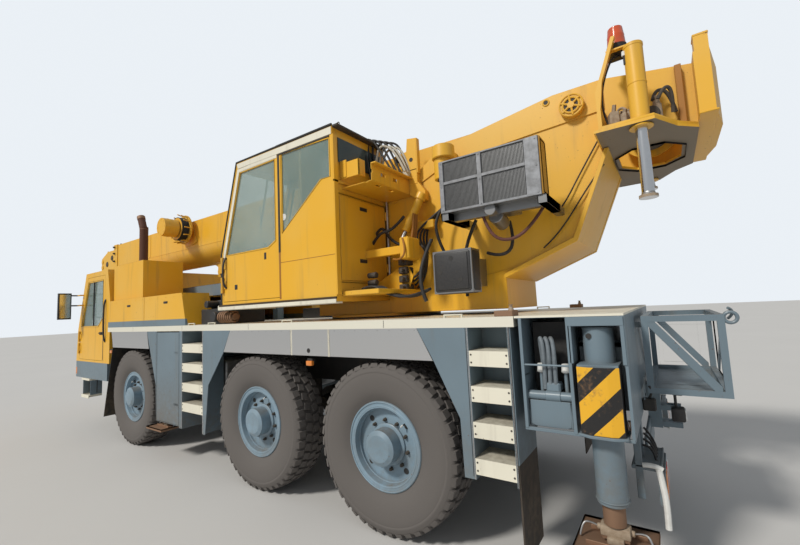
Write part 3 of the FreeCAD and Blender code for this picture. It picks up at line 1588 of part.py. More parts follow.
reel = fuse([
    cross_bar("reel_place", "reel_height", "reel_shaft", ("boom_half", "boom_half + reel_reach")),
    cross_bar("reel_place", "reel_height", "reel_radius", (REEL_FACE, f"{REEL_FACE} + reel_flange")),
    cross_bar("reel_place", "reel_height", "reel_core", (f"{REEL_FACE} + reel_flange", REEL_END)),
    cross_bar("reel_place", "reel_height", "reel_hub", (f"{REEL_END} + reel_flange", "boom_half + reel_reach")),
])
name("boom_base", group([fuse([base_shell, luff_pin_bar]), reel]))
for step in (1, 2):
    name(f"boom_section_{step}", boom_tube(step, boom_run(step)))

head_back = "boom_front + 3 * boom_show"
head_parts = [boom_tube(3, boom_run(3))]
HEAD = [
    (f"{head_back} - boom_show / 2", "boom_low + 3 * boom_step + head_rise"),
    (f"{head_back} - boom_show / 2", "boom_top - 3 * boom_step"),
    ("head_front - head_length / 2", "boom_top - 3 * boom_step"),
    ("head_front", "boom_top - head_slope"),
    ("head_front", "boom_low + head_toe"),
    ("head_front - head_length / 3", "boom_low + head_foot"),
]
plate_out = "boom_half - 3 * boom_step"
for side in SIDES.values():
    head_parts.append(profile("xz", HEAD, mirrored(side, (f"{plate_out} - head_plate", plate_out))))
head_pins = [
    ("head_front - low_sheave_place", "boom_low + low_sheave_height"),
    ("head_front - top_sheave_place", "boom_top - top_sheave_drop"),
]
for x, z in head_pins:
    head_parts.append(cross_bar(x, z, "head_pin", (f"-({plate_out})", plate_out)))
jib_bores = [
    cross_bar("head_front - jib_bore_place", z, "head_pin", (f"-({plate_out})", plate_out))
    for z in ("boom_low + jib_bore_low", "boom_low + jib_bore_high")
]
sheaves = []
for x, z in head_pins:
    for n in (-1, 1):
        y = f"{n} * sheave_width * 1.5"
        ring_disc = cross_bar(x, z, "sheave_radius", (f"{y} - sheave_width / 2", f"{y} + sheave_width / 2"))
        hole = cross_bar(x, z, "head_pin", (f"{y} - sheave_width", f"{y} + sheave_width"))
        sheaves.append(cut(ring_disc, [hole]))
name("boom_head", group([cut(fuse(head_parts), jib_bores)] + sheaves))

# Luffing cylinder between the upper frame and the boom, leaning along the line of its two pins
RAM_LENGTH = "sqrt((ram_eye_place - ram_base_place)^2 + (ram_eye_height - ram_base_height)^2)"
RAM_TILT = "atan2(ram_eye_height - ram_base_height; ram_eye_place - ram_base_place)"


def ram_bar(start, end, radius):
    """A round bar on the cylinder's own line, between two distances from the base pin."""
    item = doc.addObject("Part::Cylinder", "Ram")
    item.Placement = FreeCAD.Placement(FreeCAD.Vector(), FreeCAD.Rotation(FreeCAD.Vector(0, 1, 0), 45))
    bind(item, Radius=radius, Height=f"({end}) - ({start})")
    bind(item, Placement__Rotation__Angle=f"90 deg - {RAM_TILT}")
    bind(item, Placement__Base__x=station(f"ram_base_place + ({start}) * cos({RAM_TILT})"))
    bind(item, Placement__Base__z=f"ram_base_height + ({start}) * sin({RAM_TILT})")
    return item


ram_span = ("-ram_half", "ram_half")
barrel_body = fuse([
    ram_bar("ram_eye * 1.5", "ram_barrel_end", "ram_radius"),
    ram_bar("0", "ram_eye * 1.6", "ram_half"),
    cross_bar("ram_base_place", "ram_base_height", "ram_eye", ram_span),
])
barrel_cuts = [
    ram_bar("ram_eye * 2.5", "ram_barrel_end + 1", "ram_rod + bore_play"),
    cross_bar("ram_base_place", "ram_base_height", "ram_pin + bore_play", ram_span),
]
name("luff_barrel", cut(barrel_body, barrel_cuts))
rod_body = fuse([
    ram_bar("ram_rod_back", f"{RAM_LENGTH} - ram_eye * 2.3", "ram_rod"),
    ram_bar(f"{RAM_LENGTH} - ram_eye * 2.4", RAM_LENGTH, "ram_half"),
    cross_bar("ram_eye_place", "ram_eye_height", "ram_eye", ram_span),
])
name("luff_rod", cut(rod_body, [
    cross_bar("ram_eye_place", "ram_eye_height", "ram_pin + bore_play", ram_span)
]))

# Build, test every object and write one file for each node
doc.recompute()
solids = [item for item in doc.Objects if item.isDerivedFrom("Part::Feature") and "Sketch" not in item.TypeId]
failed = [item for item in doc.Objects if "Invalid" in item.State or "Error" in item.State]
failed += [item for item in solids if item.Shape.isNull() or not item.Shape.isValid()]
for item in failed:
    print("failed", item.Name, item.Label, [user.Label for user in item.InList], item.getStatusString())
if failed:
    raise RuntimeError(f"{len(failed)} objects failed")
os.makedirs("parts", exist_ok=True)
for item in nodes:
    shape = item.Shape
    if shape.isNull() or not shape.isValid() or shape.Volume <= 0:
        raise RuntimeError(f"{item.Label} has no valid solid")
    shape.exportStep(f"parts/{item.Label}.step")
    print(f"{item.Label:22s} solids {len(shape.Solids)}  volume {shape.Volume / 1e6:10.1f} l")
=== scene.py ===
# Looks of a three-axle all-terrain mobile crane, built round its packed solids.
# Places are millimetres: stations forward from the rear axle, Y to the left, Z up.
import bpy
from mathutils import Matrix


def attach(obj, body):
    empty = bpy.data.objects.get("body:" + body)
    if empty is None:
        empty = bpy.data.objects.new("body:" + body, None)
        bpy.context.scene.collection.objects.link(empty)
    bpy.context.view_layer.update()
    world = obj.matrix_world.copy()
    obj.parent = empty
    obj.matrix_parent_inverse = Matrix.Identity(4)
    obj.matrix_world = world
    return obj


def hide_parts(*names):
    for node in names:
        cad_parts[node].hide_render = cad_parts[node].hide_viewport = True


bl_info = {
    "name": "Mobile crane looks",
    "version": (1, 0, 0),
    "blender": (4, 5, 0),
    "location": "View3D > Sidebar > Crane",
    "description": "Paints, panes, tyres and fine parts of a three-axle mobile crane",
    "category": "Object",
}

import math

import bmesh
import bpy
from mathutils import Matrix, Vector

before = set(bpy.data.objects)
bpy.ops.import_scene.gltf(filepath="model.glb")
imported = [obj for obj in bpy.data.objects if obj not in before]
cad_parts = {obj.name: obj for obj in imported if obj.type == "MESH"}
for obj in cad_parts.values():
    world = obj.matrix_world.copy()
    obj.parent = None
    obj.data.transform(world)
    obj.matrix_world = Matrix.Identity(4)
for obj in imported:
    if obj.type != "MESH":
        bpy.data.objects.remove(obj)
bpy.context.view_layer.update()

REAR_AXLE = -3250
SIDES = {"left": 1, "right": -1}
AXLES = {"rear": 0, "middle": 1650, "front": 4630}
AXLE_HEIGHT = 685
TYRE_MIDDLE = 1062.5
DISH_FACE = 1129.5
HALF_WIDTH = 1275
DECK_TOP = 1710
DECK_UNDER = 1640
CHEEK_FACE = 445
BEAMS = {
    "rear_left": (-1646.25, 1),
    "rear_right": (-1353.75, -1),
    "front_left": (3611.25, 1),
    "front_right": (3318.75, -1),
}
JACK_PLACE = 1170


def at(station, y, z):
    """The point in metres, in the frame of the packed model."""
    return Vector((station + REAR_AXLE, y, z)) / 1000


def mirrored(side, span):
    low, high = span
    return (low, high) if side > 0 else (-high, -low)


PLANES = {
    "xz": (lambda a, b, c: at(a, c, b), Vector((0, 1, 0))),
    "yz": (lambda a, b, c: at(c, a, b), Vector((1, 0, 0))),
    "xy": (lambda a, b, c: at(a, b, c), Vector((0, 0, 1))),
}
AXES = {"x": Vector((1, 0, 0)), "y": Vector((0, 1, 0)), "z": Vector((0, 0, 1))}


class Form:
    """A mesh under way, shaped with bmesh operators."""

    def __init__(self):
        self.mesh = bmesh.new()

    def ease(self, verts, size, segments=1):
        """Rounds every edge of some vertices."""
        if size:
            edges = list({edge for vert in verts for edge in vert.link_edges})
            bmesh.ops.bevel(
                self.mesh, geom=edges, offset=size / 1000, offset_type="OFFSET", segments=segments,
                profile=0.5, affect="EDGES", material=-1, clamp_overlap=True,
            )

    def box(self, x, y, z, ease=3, turn=None, segments=1):
        low, high = at(x[0], y[0], z[0]), at(x[1], y[1], z[1])
        made = bmesh.ops.create_cube(self.mesh, size=1)["verts"]
        bmesh.ops.scale(self.mesh, vec=high - low, verts=made)
        middle = (high + low) / 2
        if turn:
            axis, degrees = turn
            bmesh.ops.rotate(self.mesh, cent=(0, 0, 0), verts=made,
                             matrix=Matrix.Rotation(math.radians(degrees), 3, AXES[axis]))
        bmesh.ops.translate(self.mesh, vec=middle, verts=made)
        self.ease(made, ease, segments)

    def rod(self, start, end, radius, tip=None, sides=16, ease=0):
        """A round bar between two places, narrowing to a tip radius."""
        a, b = at(*start), at(*end)
        run = b - a
        made = bmesh.ops.create_cone(
            self.mesh, cap_ends=True, segments=sides, radius1=radius / 1000,
            radius2=(radius if tip is None else tip) / 1000, depth=run.length,
        )["verts"]
        turn = run.to_track_quat("Z", "Y").to_matrix()
        bmesh.ops.rotate(self.mesh, cent=(0, 0, 0), matrix=turn, verts=made)
        bmesh.ops.translate(self.mesh, vec=(a + b) / 2, verts=made)
        self.ease(made if ease else [], ease)

    def bolts(self, places, axis, radius=9, height=7, sides=6):
        step = AXES[axis.strip("-")] * (-height if axis.startswith("-") else height)
        for place in places:
            end = (place[0] + step.x, place[1] + step.y, place[2] + step.z)
            self.rod(place, end, radius, radius * 0.86, sides)

    def turned(self, points, centre, axis="y", steps=48, closed=False):
        """An outline of (place along the axis, radius) pairs turned about that axis."""
        along = AXES[axis]
        out = AXES["z"] if axis != "z" else AXES["x"]
        middle = at(*centre)
        verts = [self.mesh.verts.new(middle + along * p / 1000 + out * r / 1000) for p, r in points]
        pairs = list(zip(verts, verts[1:]))
        if closed:
            pairs.append((verts[-1], verts[0]))
        edges = [self.mesh.edges.new(pair) for pair in pairs]
        spun = bmesh.ops.spin(
            self.mesh, geom=verts + edges, cent=middle, axis=along, angle=math.tau, steps=steps,
            use_merge=True, use_duplicate=False,
        )
        reached = {v for f in self.mesh.faces for v in f.verts if f.is_valid} & set(self.mesh.verts)
        poles = [v for v in reached if ((v.co - middle) - along * (v.co - middle).dot(along)).length < 1e-5]
        bmesh.ops.remove_doubles(self.mesh, verts=poles, dist=1e-5)
        return spun

    def ring(self, centre, axis, radius, section, steps=48, sides=8):
        """A round ring of a round section."""
        turns = [math.tau * n / sides for n in range(sides)]
        points = [(section * math.sin(t), radius + section * math.cos(t)) for t in turns]
        self.turned(points, centre, axis, steps, closed=True)

    def plate(self, plane, points, span, ease=1.5):
        """A flat outline as thick as its span along the axis square to its plane."""
        place, square = PLANES[plane]
        low, high = span
        verts = [self.mesh.verts.new(place(a, b, low)) for a, b in points]
        face = self.mesh.faces.new(verts)
        grown = bmesh.ops.extrude_face_region(self.mesh, geom=[face])["geom"]
        far = [item for item in grown if isinstance(item, bmesh.types.BMVert)]
        bmesh.ops.translate(self.mesh, vec=square * (high - low) / 1000, verts=far)
        self.ease(verts + far, ease)

    def border(self, plane, points, width, span, ease=0):
        """A frame of even width inside a flat outline."""
        place, square = PLANES[plane]
        low, high = span
        verts = [self.mesh.verts.new(place(a, b, low)) for a, b in points]
        face = self.mesh.faces.new(verts)
        strip = bmesh.ops.inset_region(
            self.mesh, faces=[face], thickness=width / 1000, use_boundary=True, use_even_offset=True,
        )["faces"]
        bmesh.ops.delete(self.mesh, geom=[face], context="FACES_ONLY")
        grown = bmesh.ops.extrude_face_region(self.mesh, geom=strip)["geom"]
        far = [item for item in grown if isinstance(item, bmesh.types.BMVert)]
        bmesh.ops.translate(self.mesh, vec=square * (high - low) / 1000, verts=far)
        self.ease(far, ease)

    def hose(self, points, radius, order=3, detail=3):
        """A round line that follows some places smoothly, or with sharp corners at order 2."""
        line = bpy.data.curves.new("line", "CURVE")
        line.dimensions = "3D"
        line.bevel_depth = radius / 1000
        line.bevel_resolution = detail
        line.use_fill_caps = True
        spline = line.splines.new("NURBS" if order > 2 else "POLY")
        spline.points.add(len(points) - 1)
        for knot, point in zip(spline.points, points):
            knot.co = (*at(*point), 1)
        if order > 2:
            spline.order_u = order
            spline.use_endpoint_u = True
            spline.resolution_u = 6
        carrier = bpy.data.objects.new("line", line)
        bpy.context.scene.collection.objects.link(carrier)
        bpy.context.view_layer.update()
        shape = bpy.data.meshes.new_from_object(carrier.evaluated_get(bpy.context.evaluated_depsgraph_get()))
        self.mesh.from_mesh(shape)
        bpy.data.objects.remove(carrier)
        bpy.data.curves.remove(line)
        bpy.data.meshes.remove(shape)

    def done(self, name, body, finish, slot=None, angle=35, replaces=()):
        """The finished piece, riding on its body."""
        bmesh.ops.recalc_face_normals(self.mesh, faces=self.mesh.faces)
        data = bpy.data.meshes.new(name)
        self.mesh.to_mesh(data)
        self.mesh.free()
        data.shade_smooth()
        data.set_sharp_from_angle(angle=math.radians(angle))
        data.materials.append(bpy.data.materials[finish])
        piece = bpy.data.objects.new(name, data)
        bpy.context.scene.collection.objects.link(piece)
        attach(piece, body)
        if replaces:
            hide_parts(*replaces)
        return piece


# Shader values and finishes
class Value:
    """A shader socket that takes part in sums, adding Math nodes as it goes."""

    def __init__(self, finish, socket):
        self.finish = finish
        self.socket = socket

    def join(self, operation, first, second):
        return self.finish.node("ShaderNodeMath", {"operation": operation}, {0: first, 1: second})

    def __add__(self, other):
        return self.join("ADD", self, other)

    __radd__ = __add__

    def __sub__(self, other):
        return self.join("SUBTRACT", self, other)

    def __rsub__(self, other):
        return self.join("SUBTRACT", other, self)

    def __mul__(self, other):
        return self.join("MULTIPLY", self, other)

    __rmul__ = __mul__

    def above(self, edge):
        return self.join("GREATER_THAN", self, edge)

    def below(self, edge):
        return self.join("LESS_THAN", self, edge)

    def most(self, other):
        return self.join("MAXIMUM", self, other)

    def least(self, other):
        return self.join("MINIMUM", self, other)

    def folded(self, width):
        return self.join("PINGPONG", self, width)

    def size(self):
        return self.join("ABSOLUTE", self, 0)

    def ramp(self, start, end):
        """0 at the start value and 1 at the end value, eased between."""
        return self.finish.node(
            "ShaderNodeMapRange", {"interpolation_type": "SMOOTHSTEP", "clamp": True},
            {"Value": self, "From Min": start, "From Max": end},
        )


class Finish:
    """One material under way, on Object coordinates."""

    def __init__(self, name):
        self.material = bpy.data.materials.new(name)
        self.material.use_nodes = True
        self.tree = self.material.node_tree
        self.shader = self.tree.nodes["Principled BSDF"]
        place = self.tree.nodes.new("ShaderNodeTexCoord")
        self.place = Value(self, place.outputs["Object"])
        facing = Value(self, place.outputs["Normal"])
        self.x, self.y, self.z = self.parts(self.place)
        self.up = self.parts(facing)[2]

    def parts(self, vector):
        return [self.node("ShaderNodeSeparateXYZ", {}, {0: vector}, out) for out in range(3)]

    def node(self, kind, settings, values, out=0):
        made = self.tree.nodes.new(kind)
        for setting, choice in settings.items():
            setattr(made, setting, choice)
        for key, value in values.items():
            self.feed(made.inputs[key], value)
        return Value(self, made.outputs[out])

    def feed(self, socket, value):
        if isinstance(value, Value):
            self.tree.links.new(value.socket, socket)
        elif socket.type == "RGBA":
            socket.default_value = (*value, 1)
        else:
            socket.default_value = value

    def mix(self, share, first, second):
        return self.node("ShaderNodeMix", {"data_type": "RGBA"}, {0: share, 6: first, 7: second}, 2)

    def noise(self, scale, detail=3, stretch=None, rough=0.6):
        place = self.place
        if stretch:
            place = self.node("ShaderNodeMapping", {}, {"Vector": self.place, "Scale": stretch})
        return self.node("ShaderNodeTexNoise", {}, {"Vector": place, "Scale": scale, "Detail": detail,
                "Roughness": rough})

    def corners(self, reach):
        """1 in tight corners, 0 in the open."""
        open_sky = self.node("ShaderNodeAmbientOcclusion", {"samples": 4}, {"Distance": reach}, 1)
        return (1 - open_sky).ramp(0.25, 0.9)

    def within(self, x=None, spread=None, z=None, facing=None):
        """1 between two stations, two distances from the middle plane and two heights, else 0."""
        share = None
        for value, limits, shift in ((self.x, x, REAR_AXLE), (self.y.size(), spread, 0), (self.z, z, 0)):
            for limit, kind in zip(limits or (), ("GREATER_THAN", "LESS_THAN")):
                if limit is not None:
                    term = value.join(kind, value, (limit + shift) / 1000)
                    share = term if share is None else share * term
        if facing == "up":
            share = self.up.above(0.5) if share is None else share * self.up.above(0.5)
        if facing == "down":
            share = self.up.below(-0.5) if share is None else share * self.up.below(-0.5)
        return share

    def bump(self, height, strength=0.3, distance=0.001):
        normal = self.node("ShaderNodeBump", {}, {"Strength": strength, "Distance": distance,
                "Height": height})
        self.feed(self.shader.inputs["Normal"], normal)

    def set(self, **sockets):
        for socket, value in sockets.items():
            self.feed(self.shader.inputs[socket.replace("_", " ")], value)


# EARTH: brown for dust and dirt; painted() also mixes it into corners as painted shade.
EARTH = (0.17, 0.13, 0.088)
RUST = (0.16, 0.06, 0.022)


def painted(name, colour, faded, gloss=0.36, dust=0.45, streaks=0.35, chips=1.0, corner_dirt_and_shade=0.65, areas=(),
        low_dirt=0.0):
    """Weathered paint: clouds, dust on top, streaks down the sides, chips and dirt in corners."""
    finish = Finish(name)
    cloud = finish.noise(0.9, 3)
    fine = finish.noise(17, 4)
    runs = finish.noise(1, 4, (9, 9, 0.7))
    base = finish.mix(cloud.ramp(0.35, 0.7), colour, faded)
    rough = gloss + fine * 0.1
    metal = 0.0
    for area in areas:
        share = finish.within(**area["place"])
        base = finish.mix(share, base, area["colour"])
        rough = rough + (area.get("rough", gloss) - gloss) * share
    settled = finish.up.ramp(0.2, 0.95) * (cloud + fine * 0.5).ramp(0.45, 1.0) * dust
    running = (1 - finish.up.size()).ramp(0.2, 0.9) * runs.ramp(0.52, 0.8) * streaks
    earth_share = settled.most(running)
    if low_dirt:
        splash = finish.z.ramp(1.25, 0.35) * (fine + cloud).ramp(0.75, 1.25) * low_dirt
        earth_share = earth_share.most(splash)
    # Corners darkened towards EARTH from ambient occlusion: dirt, and painted shade where corners are
    # occluded.
    if corner_dirt_and_shade:
        earth_share = earth_share.most(finish.corners(0.08) * (0.35 + fine * 0.65) * corner_dirt_and_shade)
    base = finish.mix(earth_share, base, EARTH)
    bare = finish.noise(46, 2).ramp(0.70, 0.735) * cloud.ramp(0.5, 0.62) * chips
    base = finish.mix(bare, base, RUST)
    finish.set(Base_Color=base, Roughness=(rough + earth_share * 0.35 + bare * 0.3).least(1.0), Metallic=metal)
    finish.set(Specular_IOR_Level=0.45, Coat_Weight=0.12, Coat_Roughness=0.2)
    finish.bump(finish.noise(130, 2) * 0.35 + fine * 0.4 - bare * 0.5 + earth_share * 0.2, 0.25, 0.0012)
    return finish


def plain(name, colour, second, rough, metal=0.0, scale=22, spread=0.5, bumpy=0.2, dust=0.25, stretch=None):
    """Bare or moulded material: two tones in noise, dust on top and a fine surface."""
    finish = Finish(name)
    tone = finish.noise(scale, 4, stretch)
    cloud = finish.noise(2.3, 3)
    earth_share = (finish.up.ramp(0.0, 0.9) * 0.7 + 0.3) * (cloud + tone * 0.4).ramp(0.5, 1.05) * dust
    base = finish.mix(tone.ramp(0.5 - spread / 2, 0.5 + spread / 2), colour, second)
    finish.set(Base_Color=finish.mix(earth_share, base, EARTH), Metallic=metal * (1 - earth_share))
    finish.set(Roughness=(rough + tone * 0.16 + earth_share * 0.3).least(1.0))
    finish.bump(tone + finish.noise(150, 2) * 0.4, bumpy, 0.0012)
    return finish


def lens(name, colour, glow=0.0, rough=0.12):
    finish = Finish(name)
    ribs = (finish.z * 160).folded(0.5)
    haze = finish.noise(30, 3)
    finish.set(Base_Color=finish.mix(haze.ramp(0.4, 0.8) * 0.35, colour, EARTH),
            Roughness=rough + haze * 0.15)
    finish.set(Coat_Weight=0.6, Coat_Roughness=0.05, Emission_Color=colour, Emission_Strength=glow)
    finish.bump(ribs, 0.35, 0.002)
    return finish


def make_finishes(colours):
    yellow, faded = tuple(colours.yellow), tuple(colours.yellow_faded)
    grey_blue = tuple(colours.grey_blue)
    cream = tuple(colours.cream)
    black = {"colour": (0.018, 0.018, 0.019), "rough": 0.55}
    painted("yellow_paint", yellow, faded)
    painted("yellow_hood", yellow, faded, areas=[
        dict(place=dict(x=(4480, 4740), spread=(1060, 1200), z=(2701, None)), colour=(0.105, 0.042,
        0.024), rough=0.85),
        dict(place=dict(spread=(1240, 1300), z=(1700, 1795)), colour=grey_blue),
    ])
    painted("yellow_cab", yellow, faded, areas=[dict(place=dict(spread=(1300, 1600)), **black)])
    painted("yellow_upper", yellow, faded, areas=[
        dict(place=dict(x=(400, 2400), spread=(1255, 1300), z=(1880, 1909)), colour=cream),
        # Near-black strip just above the cream sill: a painted shadow line.
        dict(place=dict(x=(400, 2400), spread=(1246, 1300), z=(1909, 1932)), colour=(0.05, 0.03, 0.012),
        rough=0.7),
        # Grey-brown on the downward faces under the tail: dirt, and painted shade under the tail.
        dict(place=dict(x=(-2600, -1700), z=(2930, 2960), facing="down"), colour=(0.23, 0.19, 0.14),
        rough=0.8),
        dict(place=dict(x=(-1940, -1800), spread=(570, 708), z=(3548, 3624)), colour=(0.02, 0.019, 0.02),
        rough=0.6),
        dict(place=dict(x=(-1940, -1800), spread=(570, 708), z=(3620, None)), colour=(0.50, 0.085, 0.03),
        rough=0.3),
    ])
    painted("grey_blue_paint", grey_blue, tuple(v * 0.86 for v in grey_blue), gloss=0.42, low_dirt=0.55)
    painted("grey_blue_panels", grey_blue, tuple(v * 0.86 for v in grey_blue), gloss=0.42, low_dirt=0.45,
            areas=[
        dict(place=dict(x=(None, -1129), z=(None, 760)), colour=(0.05, 0.04, 0.033), rough=0.9),
        dict(place=dict(x=(5200, None), z=(None, 1405)), colour=(0.02, 0.019, 0.018), rough=0.85),
    ])
    painted("grey_blue_boxes", grey_blue, tuple(v * 0.82 for v in grey_blue), gloss=0.42, low_dirt=0.5,
            areas=[
        dict(place=dict(x=(None, 0), z=(1697, None)), colour=cream),
    ])
    painted("grey_blue_sill", grey_blue, tuple(v * 0.86 for v in grey_blue), gloss=0.42, low_dirt=0.5, areas=[
        dict(place=dict(z=(None, 575)), colour=cream),
    ])
    painted("wheel_paint", (0.23, 0.335, 0.42), (0.17, 0.25, 0.31), gloss=0.4, dust=0.8, chips=0.8,
            low_dirt=0.35)
    painted("cream_paint", cream, tuple(v * 0.88 for v in cream), gloss=0.5, dust=0.3, streaks=0.22,
            chips=0.6, areas=[
        dict(place=dict(z=(1700, None), facing="up"), colour=(0.24, 0.24, 0.22), rough=0.75),
    ])
    painted("cream_treads", cream, tuple(v * 0.9 for v in cream), gloss=0.55, dust=0.7, streaks=0.3,
            chips=1.0)
    painted("dark_frame", (0.035, 0.034, 0.034), (0.055, 0.05, 0.045), gloss=0.6, dust=0.8, corner_dirt_and_shade=0.4,
            low_dirt=0.7)
    # Yellow darkened to how it looks in shade: a painted-shade copy of the yellow paint.
    painted("shade_darkened_yellow", (0.34, 0.135, 0.016), (0.42, 0.18, 0.02), gloss=0.5, dust=0.2, corner_dirt_and_shade=0.4)
    # A darker copy of the yellow paint for a rearward face: painted shade.
    painted("shade_darkened_mustard", (0.50, 0.255, 0.02), (0.44, 0.22, 0.025), gloss=0.5, dust=0.3)
    plain("cast_steel", (0.055, 0.05, 0.046), (0.10, 0.085, 0.07), 0.65, 0.3, dust=0.7)
    plain("chrome", (0.80, 0.81, 0.82), (0.70, 0.71, 0.73), 0.10, 1.0, scale=5, bumpy=0.03, dust=0.06)
    plain("rusty_steel", (0.20, 0.085, 0.04), (0.34, 0.19, 0.11), 0.75, 0.2, scale=11, spread=0.4,
            bumpy=0.6, dust=0.3)
    plain("pale_cast", (0.42, 0.34, 0.25), (0.30, 0.22, 0.15), 0.7, 0.1, scale=30, dust=0.3)
    plain("silver_metal", (0.58, 0.58, 0.57), (0.42, 0.42, 0.42), 0.32, 1.0, dust=0.25)
    plain("dull_metal", (0.30, 0.31, 0.33), (0.20, 0.205, 0.215), 0.5, 0.5, dust=0.3)
    plain("cooler_core", (0.115, 0.118, 0.12), (0.06, 0.062, 0.064), 0.6, 0.3, scale=60, dust=0.35)
    # Opaque dark glass: on the crane cab's rear window it paints the shade of the inside seen through it.
    plain("dark_pane", (0.035, 0.055, 0.058), (0.06, 0.085, 0.085), 0.06, scale=4, bumpy=0.02, dust=0.08)
    plain("black_rubber", (0.016, 0.016, 0.017), (0.03, 0.029, 0.028), 0.55, dust=0.25)
    plain("black_plastic", (0.02, 0.02, 0.022), (0.032, 0.032, 0.034), 0.42, scale=90, dust=0.22)
    plain("grey_hose", (0.20, 0.24, 0.27), (0.13, 0.155, 0.175), 0.5, dust=0.3)
    plain("red_brown_hose", (0.15, 0.045, 0.03), (0.08, 0.03, 0.024), 0.55, dust=0.2)
    plain("pale_seal", (0.62, 0.58, 0.48), (0.5, 0.46, 0.38), 0.6, dust=0.2)
    plain("white_plastic", (0.78, 0.78, 0.75), (0.66, 0.66, 0.63), 0.45, dust=0.2)
    plain("wire_rope", (0.10, 0.09, 0.075), (0.20, 0.18, 0.15), 0.5, 0.6, scale=140, bumpy=0.5, dust=0.3)
    plain("grey_interior", (0.16, 0.165, 0.17), (0.12, 0.122, 0.125), 0.7, scale=60, dust=0.1)
    lens("red_lens", (0.55, 0.018, 0.012))
    lens("orange_lens", (0.80, 0.24, 0.03))
    lens("beacon_lens", (0.62, 0.085, 0.02))
    lens("clear_lens", (0.72, 0.74, 0.75))
    bright_sheet()
    tyre_rubber()
    cab_glass()
    mirror_glass()
    seat_cloth()
    cooler_metal(yellow)
    hazard_paint(yellow)


def bright_sheet():
    """Rolled aluminium with fine lengthwise brushing and dull patches."""
    finish = Finish("bright_sheet")
    brush = finish.noise(1, 4, (2.5, 40, 300), 0.7)
    cloud = finish.noise(1.6, 3)
    splash = finish.z.ramp(1.56, 1.38) * (cloud + finish.noise(14, 4) * 0.6).ramp(0.6, 1.1) * 0.65
    tone = finish.mix(cloud.ramp(0.3, 0.75), (0.56, 0.53, 0.49), (0.40, 0.37, 0.33))
    finish.set(Base_Color=finish.mix(splash, tone, EARTH), Metallic=0.85 - splash * 0.6)
    finish.set(Roughness=0.30 + cloud * 0.18 + splash * 0.3)
    finish.bump(brush, 0.12, 0.0012)


def tyre_rubber():
    """Dusty rubber: dark in the tread's grooves, brown-grey on the walls, tan on the shoulder."""
    finish = Finish("tyre_rubber")
    reach = finish.node("ShaderNodeAttribute", {"attribute_name": "reach"}, {}, 2)
    fine = finish.noise(26, 5)
    cloud = finish.noise(2.6, 4)
    wall = finish.mix(cloud.ramp(0.3, 0.75), (0.125, 0.098, 0.076), (0.070, 0.058, 0.048))
    wall = finish.mix(fine.ramp(0.45, 0.8) * 0.5, wall, (0.21, 0.16, 0.11))
    bead = (reach.ramp(0.44, 0.37)) * 0.55
    wall = finish.mix(bead, wall, (0.045, 0.040, 0.037))
    shoulder = reach.ramp(0.60, 0.635) * reach.ramp(0.678, 0.655)
    tone = finish.mix(shoulder * (0.25 + cloud * 0.75), wall, (0.25, 0.18, 0.105))
    tread = reach.ramp(0.672, 0.681)
    tone = finish.mix(tread, tone, (0.060, 0.050, 0.043))
    # Near-black in the tread's grooves from ambient occlusion: painted shade.
    tone = finish.mix(finish.corners(0.022) * 0.75, tone, (0.028, 0.023, 0.020))
    finish.set(Base_Color=tone, Roughness=0.74 + fine * 0.2, Specular_IOR_Level=0.35)
    finish.bump(fine + finish.noise(90, 3) * 0.5, 0.35, 0.002)


def cab_glass():
    finish = Finish("cab_glass")
    haze = finish.noise(1.3, 3)
    wiped = finish.noise(1, 3, (5, 5, 1.1))
    tone = finish.mix(haze.ramp(0.35, 0.7), (0.27, 0.40, 0.37), (0.40, 0.52, 0.48))
    finish.set(Base_Color=tone, Roughness=0.03 + wiped * 0.05, Alpha=0.36 + haze * 0.16)
    finish.set(IOR=1.5, Specular_IOR_Level=0.9, Coat_Weight=1.0, Coat_Roughness=0.02)
    finish.bump(haze, 0.03, 0.002)


def mirror_glass():
    finish = Finish("mirror_glass")
    haze = finish.noise(9, 3)
    finish.set(Base_Color=finish.mix(haze, (0.78, 0.80, 0.81), (0.62, 0.64, 0.65)), Metallic=1.0)
    finish.set(Roughness=0.04 + haze * 0.12)


def seat_cloth():
    """Woven grey cloth."""
    finish = Finish("seat_cloth")
    weave = (finish.x * 420).folded(0.5) * (finish.y * 420).folded(0.5) + (finish.z * 420).folded(0.5) * 0.4
    cloud = finish.noise(7, 3)
    tone = finish.mix(weave.ramp(0.05, 0.4), (0.055, 0.06, 0.07), (0.13, 0.14, 0.16))
    finish.set(Base_Color=finish.mix(cloud.ramp(0.5, 0.8) * 0.4, tone, (0.16, 0.14, 0.12)), Roughness=0.9)
    finish.set(Sheen_Weight=0.3, Sheen_Roughness=0.5)
    finish.bump(weave, 0.4, 0.001)


def cooler_metal(yellow):
    """Dark cooler core, yellow fan side, black valve cover and dull arms."""
    finish = Finish("cooler_metal")
    fine = finish.noise(40, 4)
    cloud = finish.noise(3, 3)
    tone = finish.mix(cloud.ramp(0.3, 0.7), (0.035, 0.034, 0.034), (0.065, 0.06, 0.054))
    side = finish.within(x=(-1360, -1340), z=(2501, None))
    tone = finish.mix(side, tone, yellow)
    earth_share = finish.up.ramp(0.2, 0.9) * (fine + cloud).ramp(0.8, 1.2) * 0.6
    finish.set(Base_Color=finish.mix(earth_share, tone, EARTH), Roughness=0.5 + fine * 0.25 + earth_share * 0.2)
    finish.bump(fine, 0.3, 0.001)


def hazard_paint(yellow):
    """Yellow and black slanting bands with scuffs."""
    finish = Finish("hazard_paint")
    band = ((finish.x + finish.z + 0.105) * 1.0).folded(0.118).above(0.062)
    fine = finish.noise(34, 4)
    cloud = finish.noise(5, 3)
    tone = finish.mix(band, yellow, (0.016, 0.015, 0.015))
    scuff = (fine * 0.6 + cloud * 0.6).ramp(0.62, 0.80) * 0.75
    finish.set(Base_Color=finish.mix(scuff, tone, (0.22, 0.12, 0.055)), Roughness=0.42 + scuff * 0.35)
    finish.bump(fine, 0.2, 0.001)


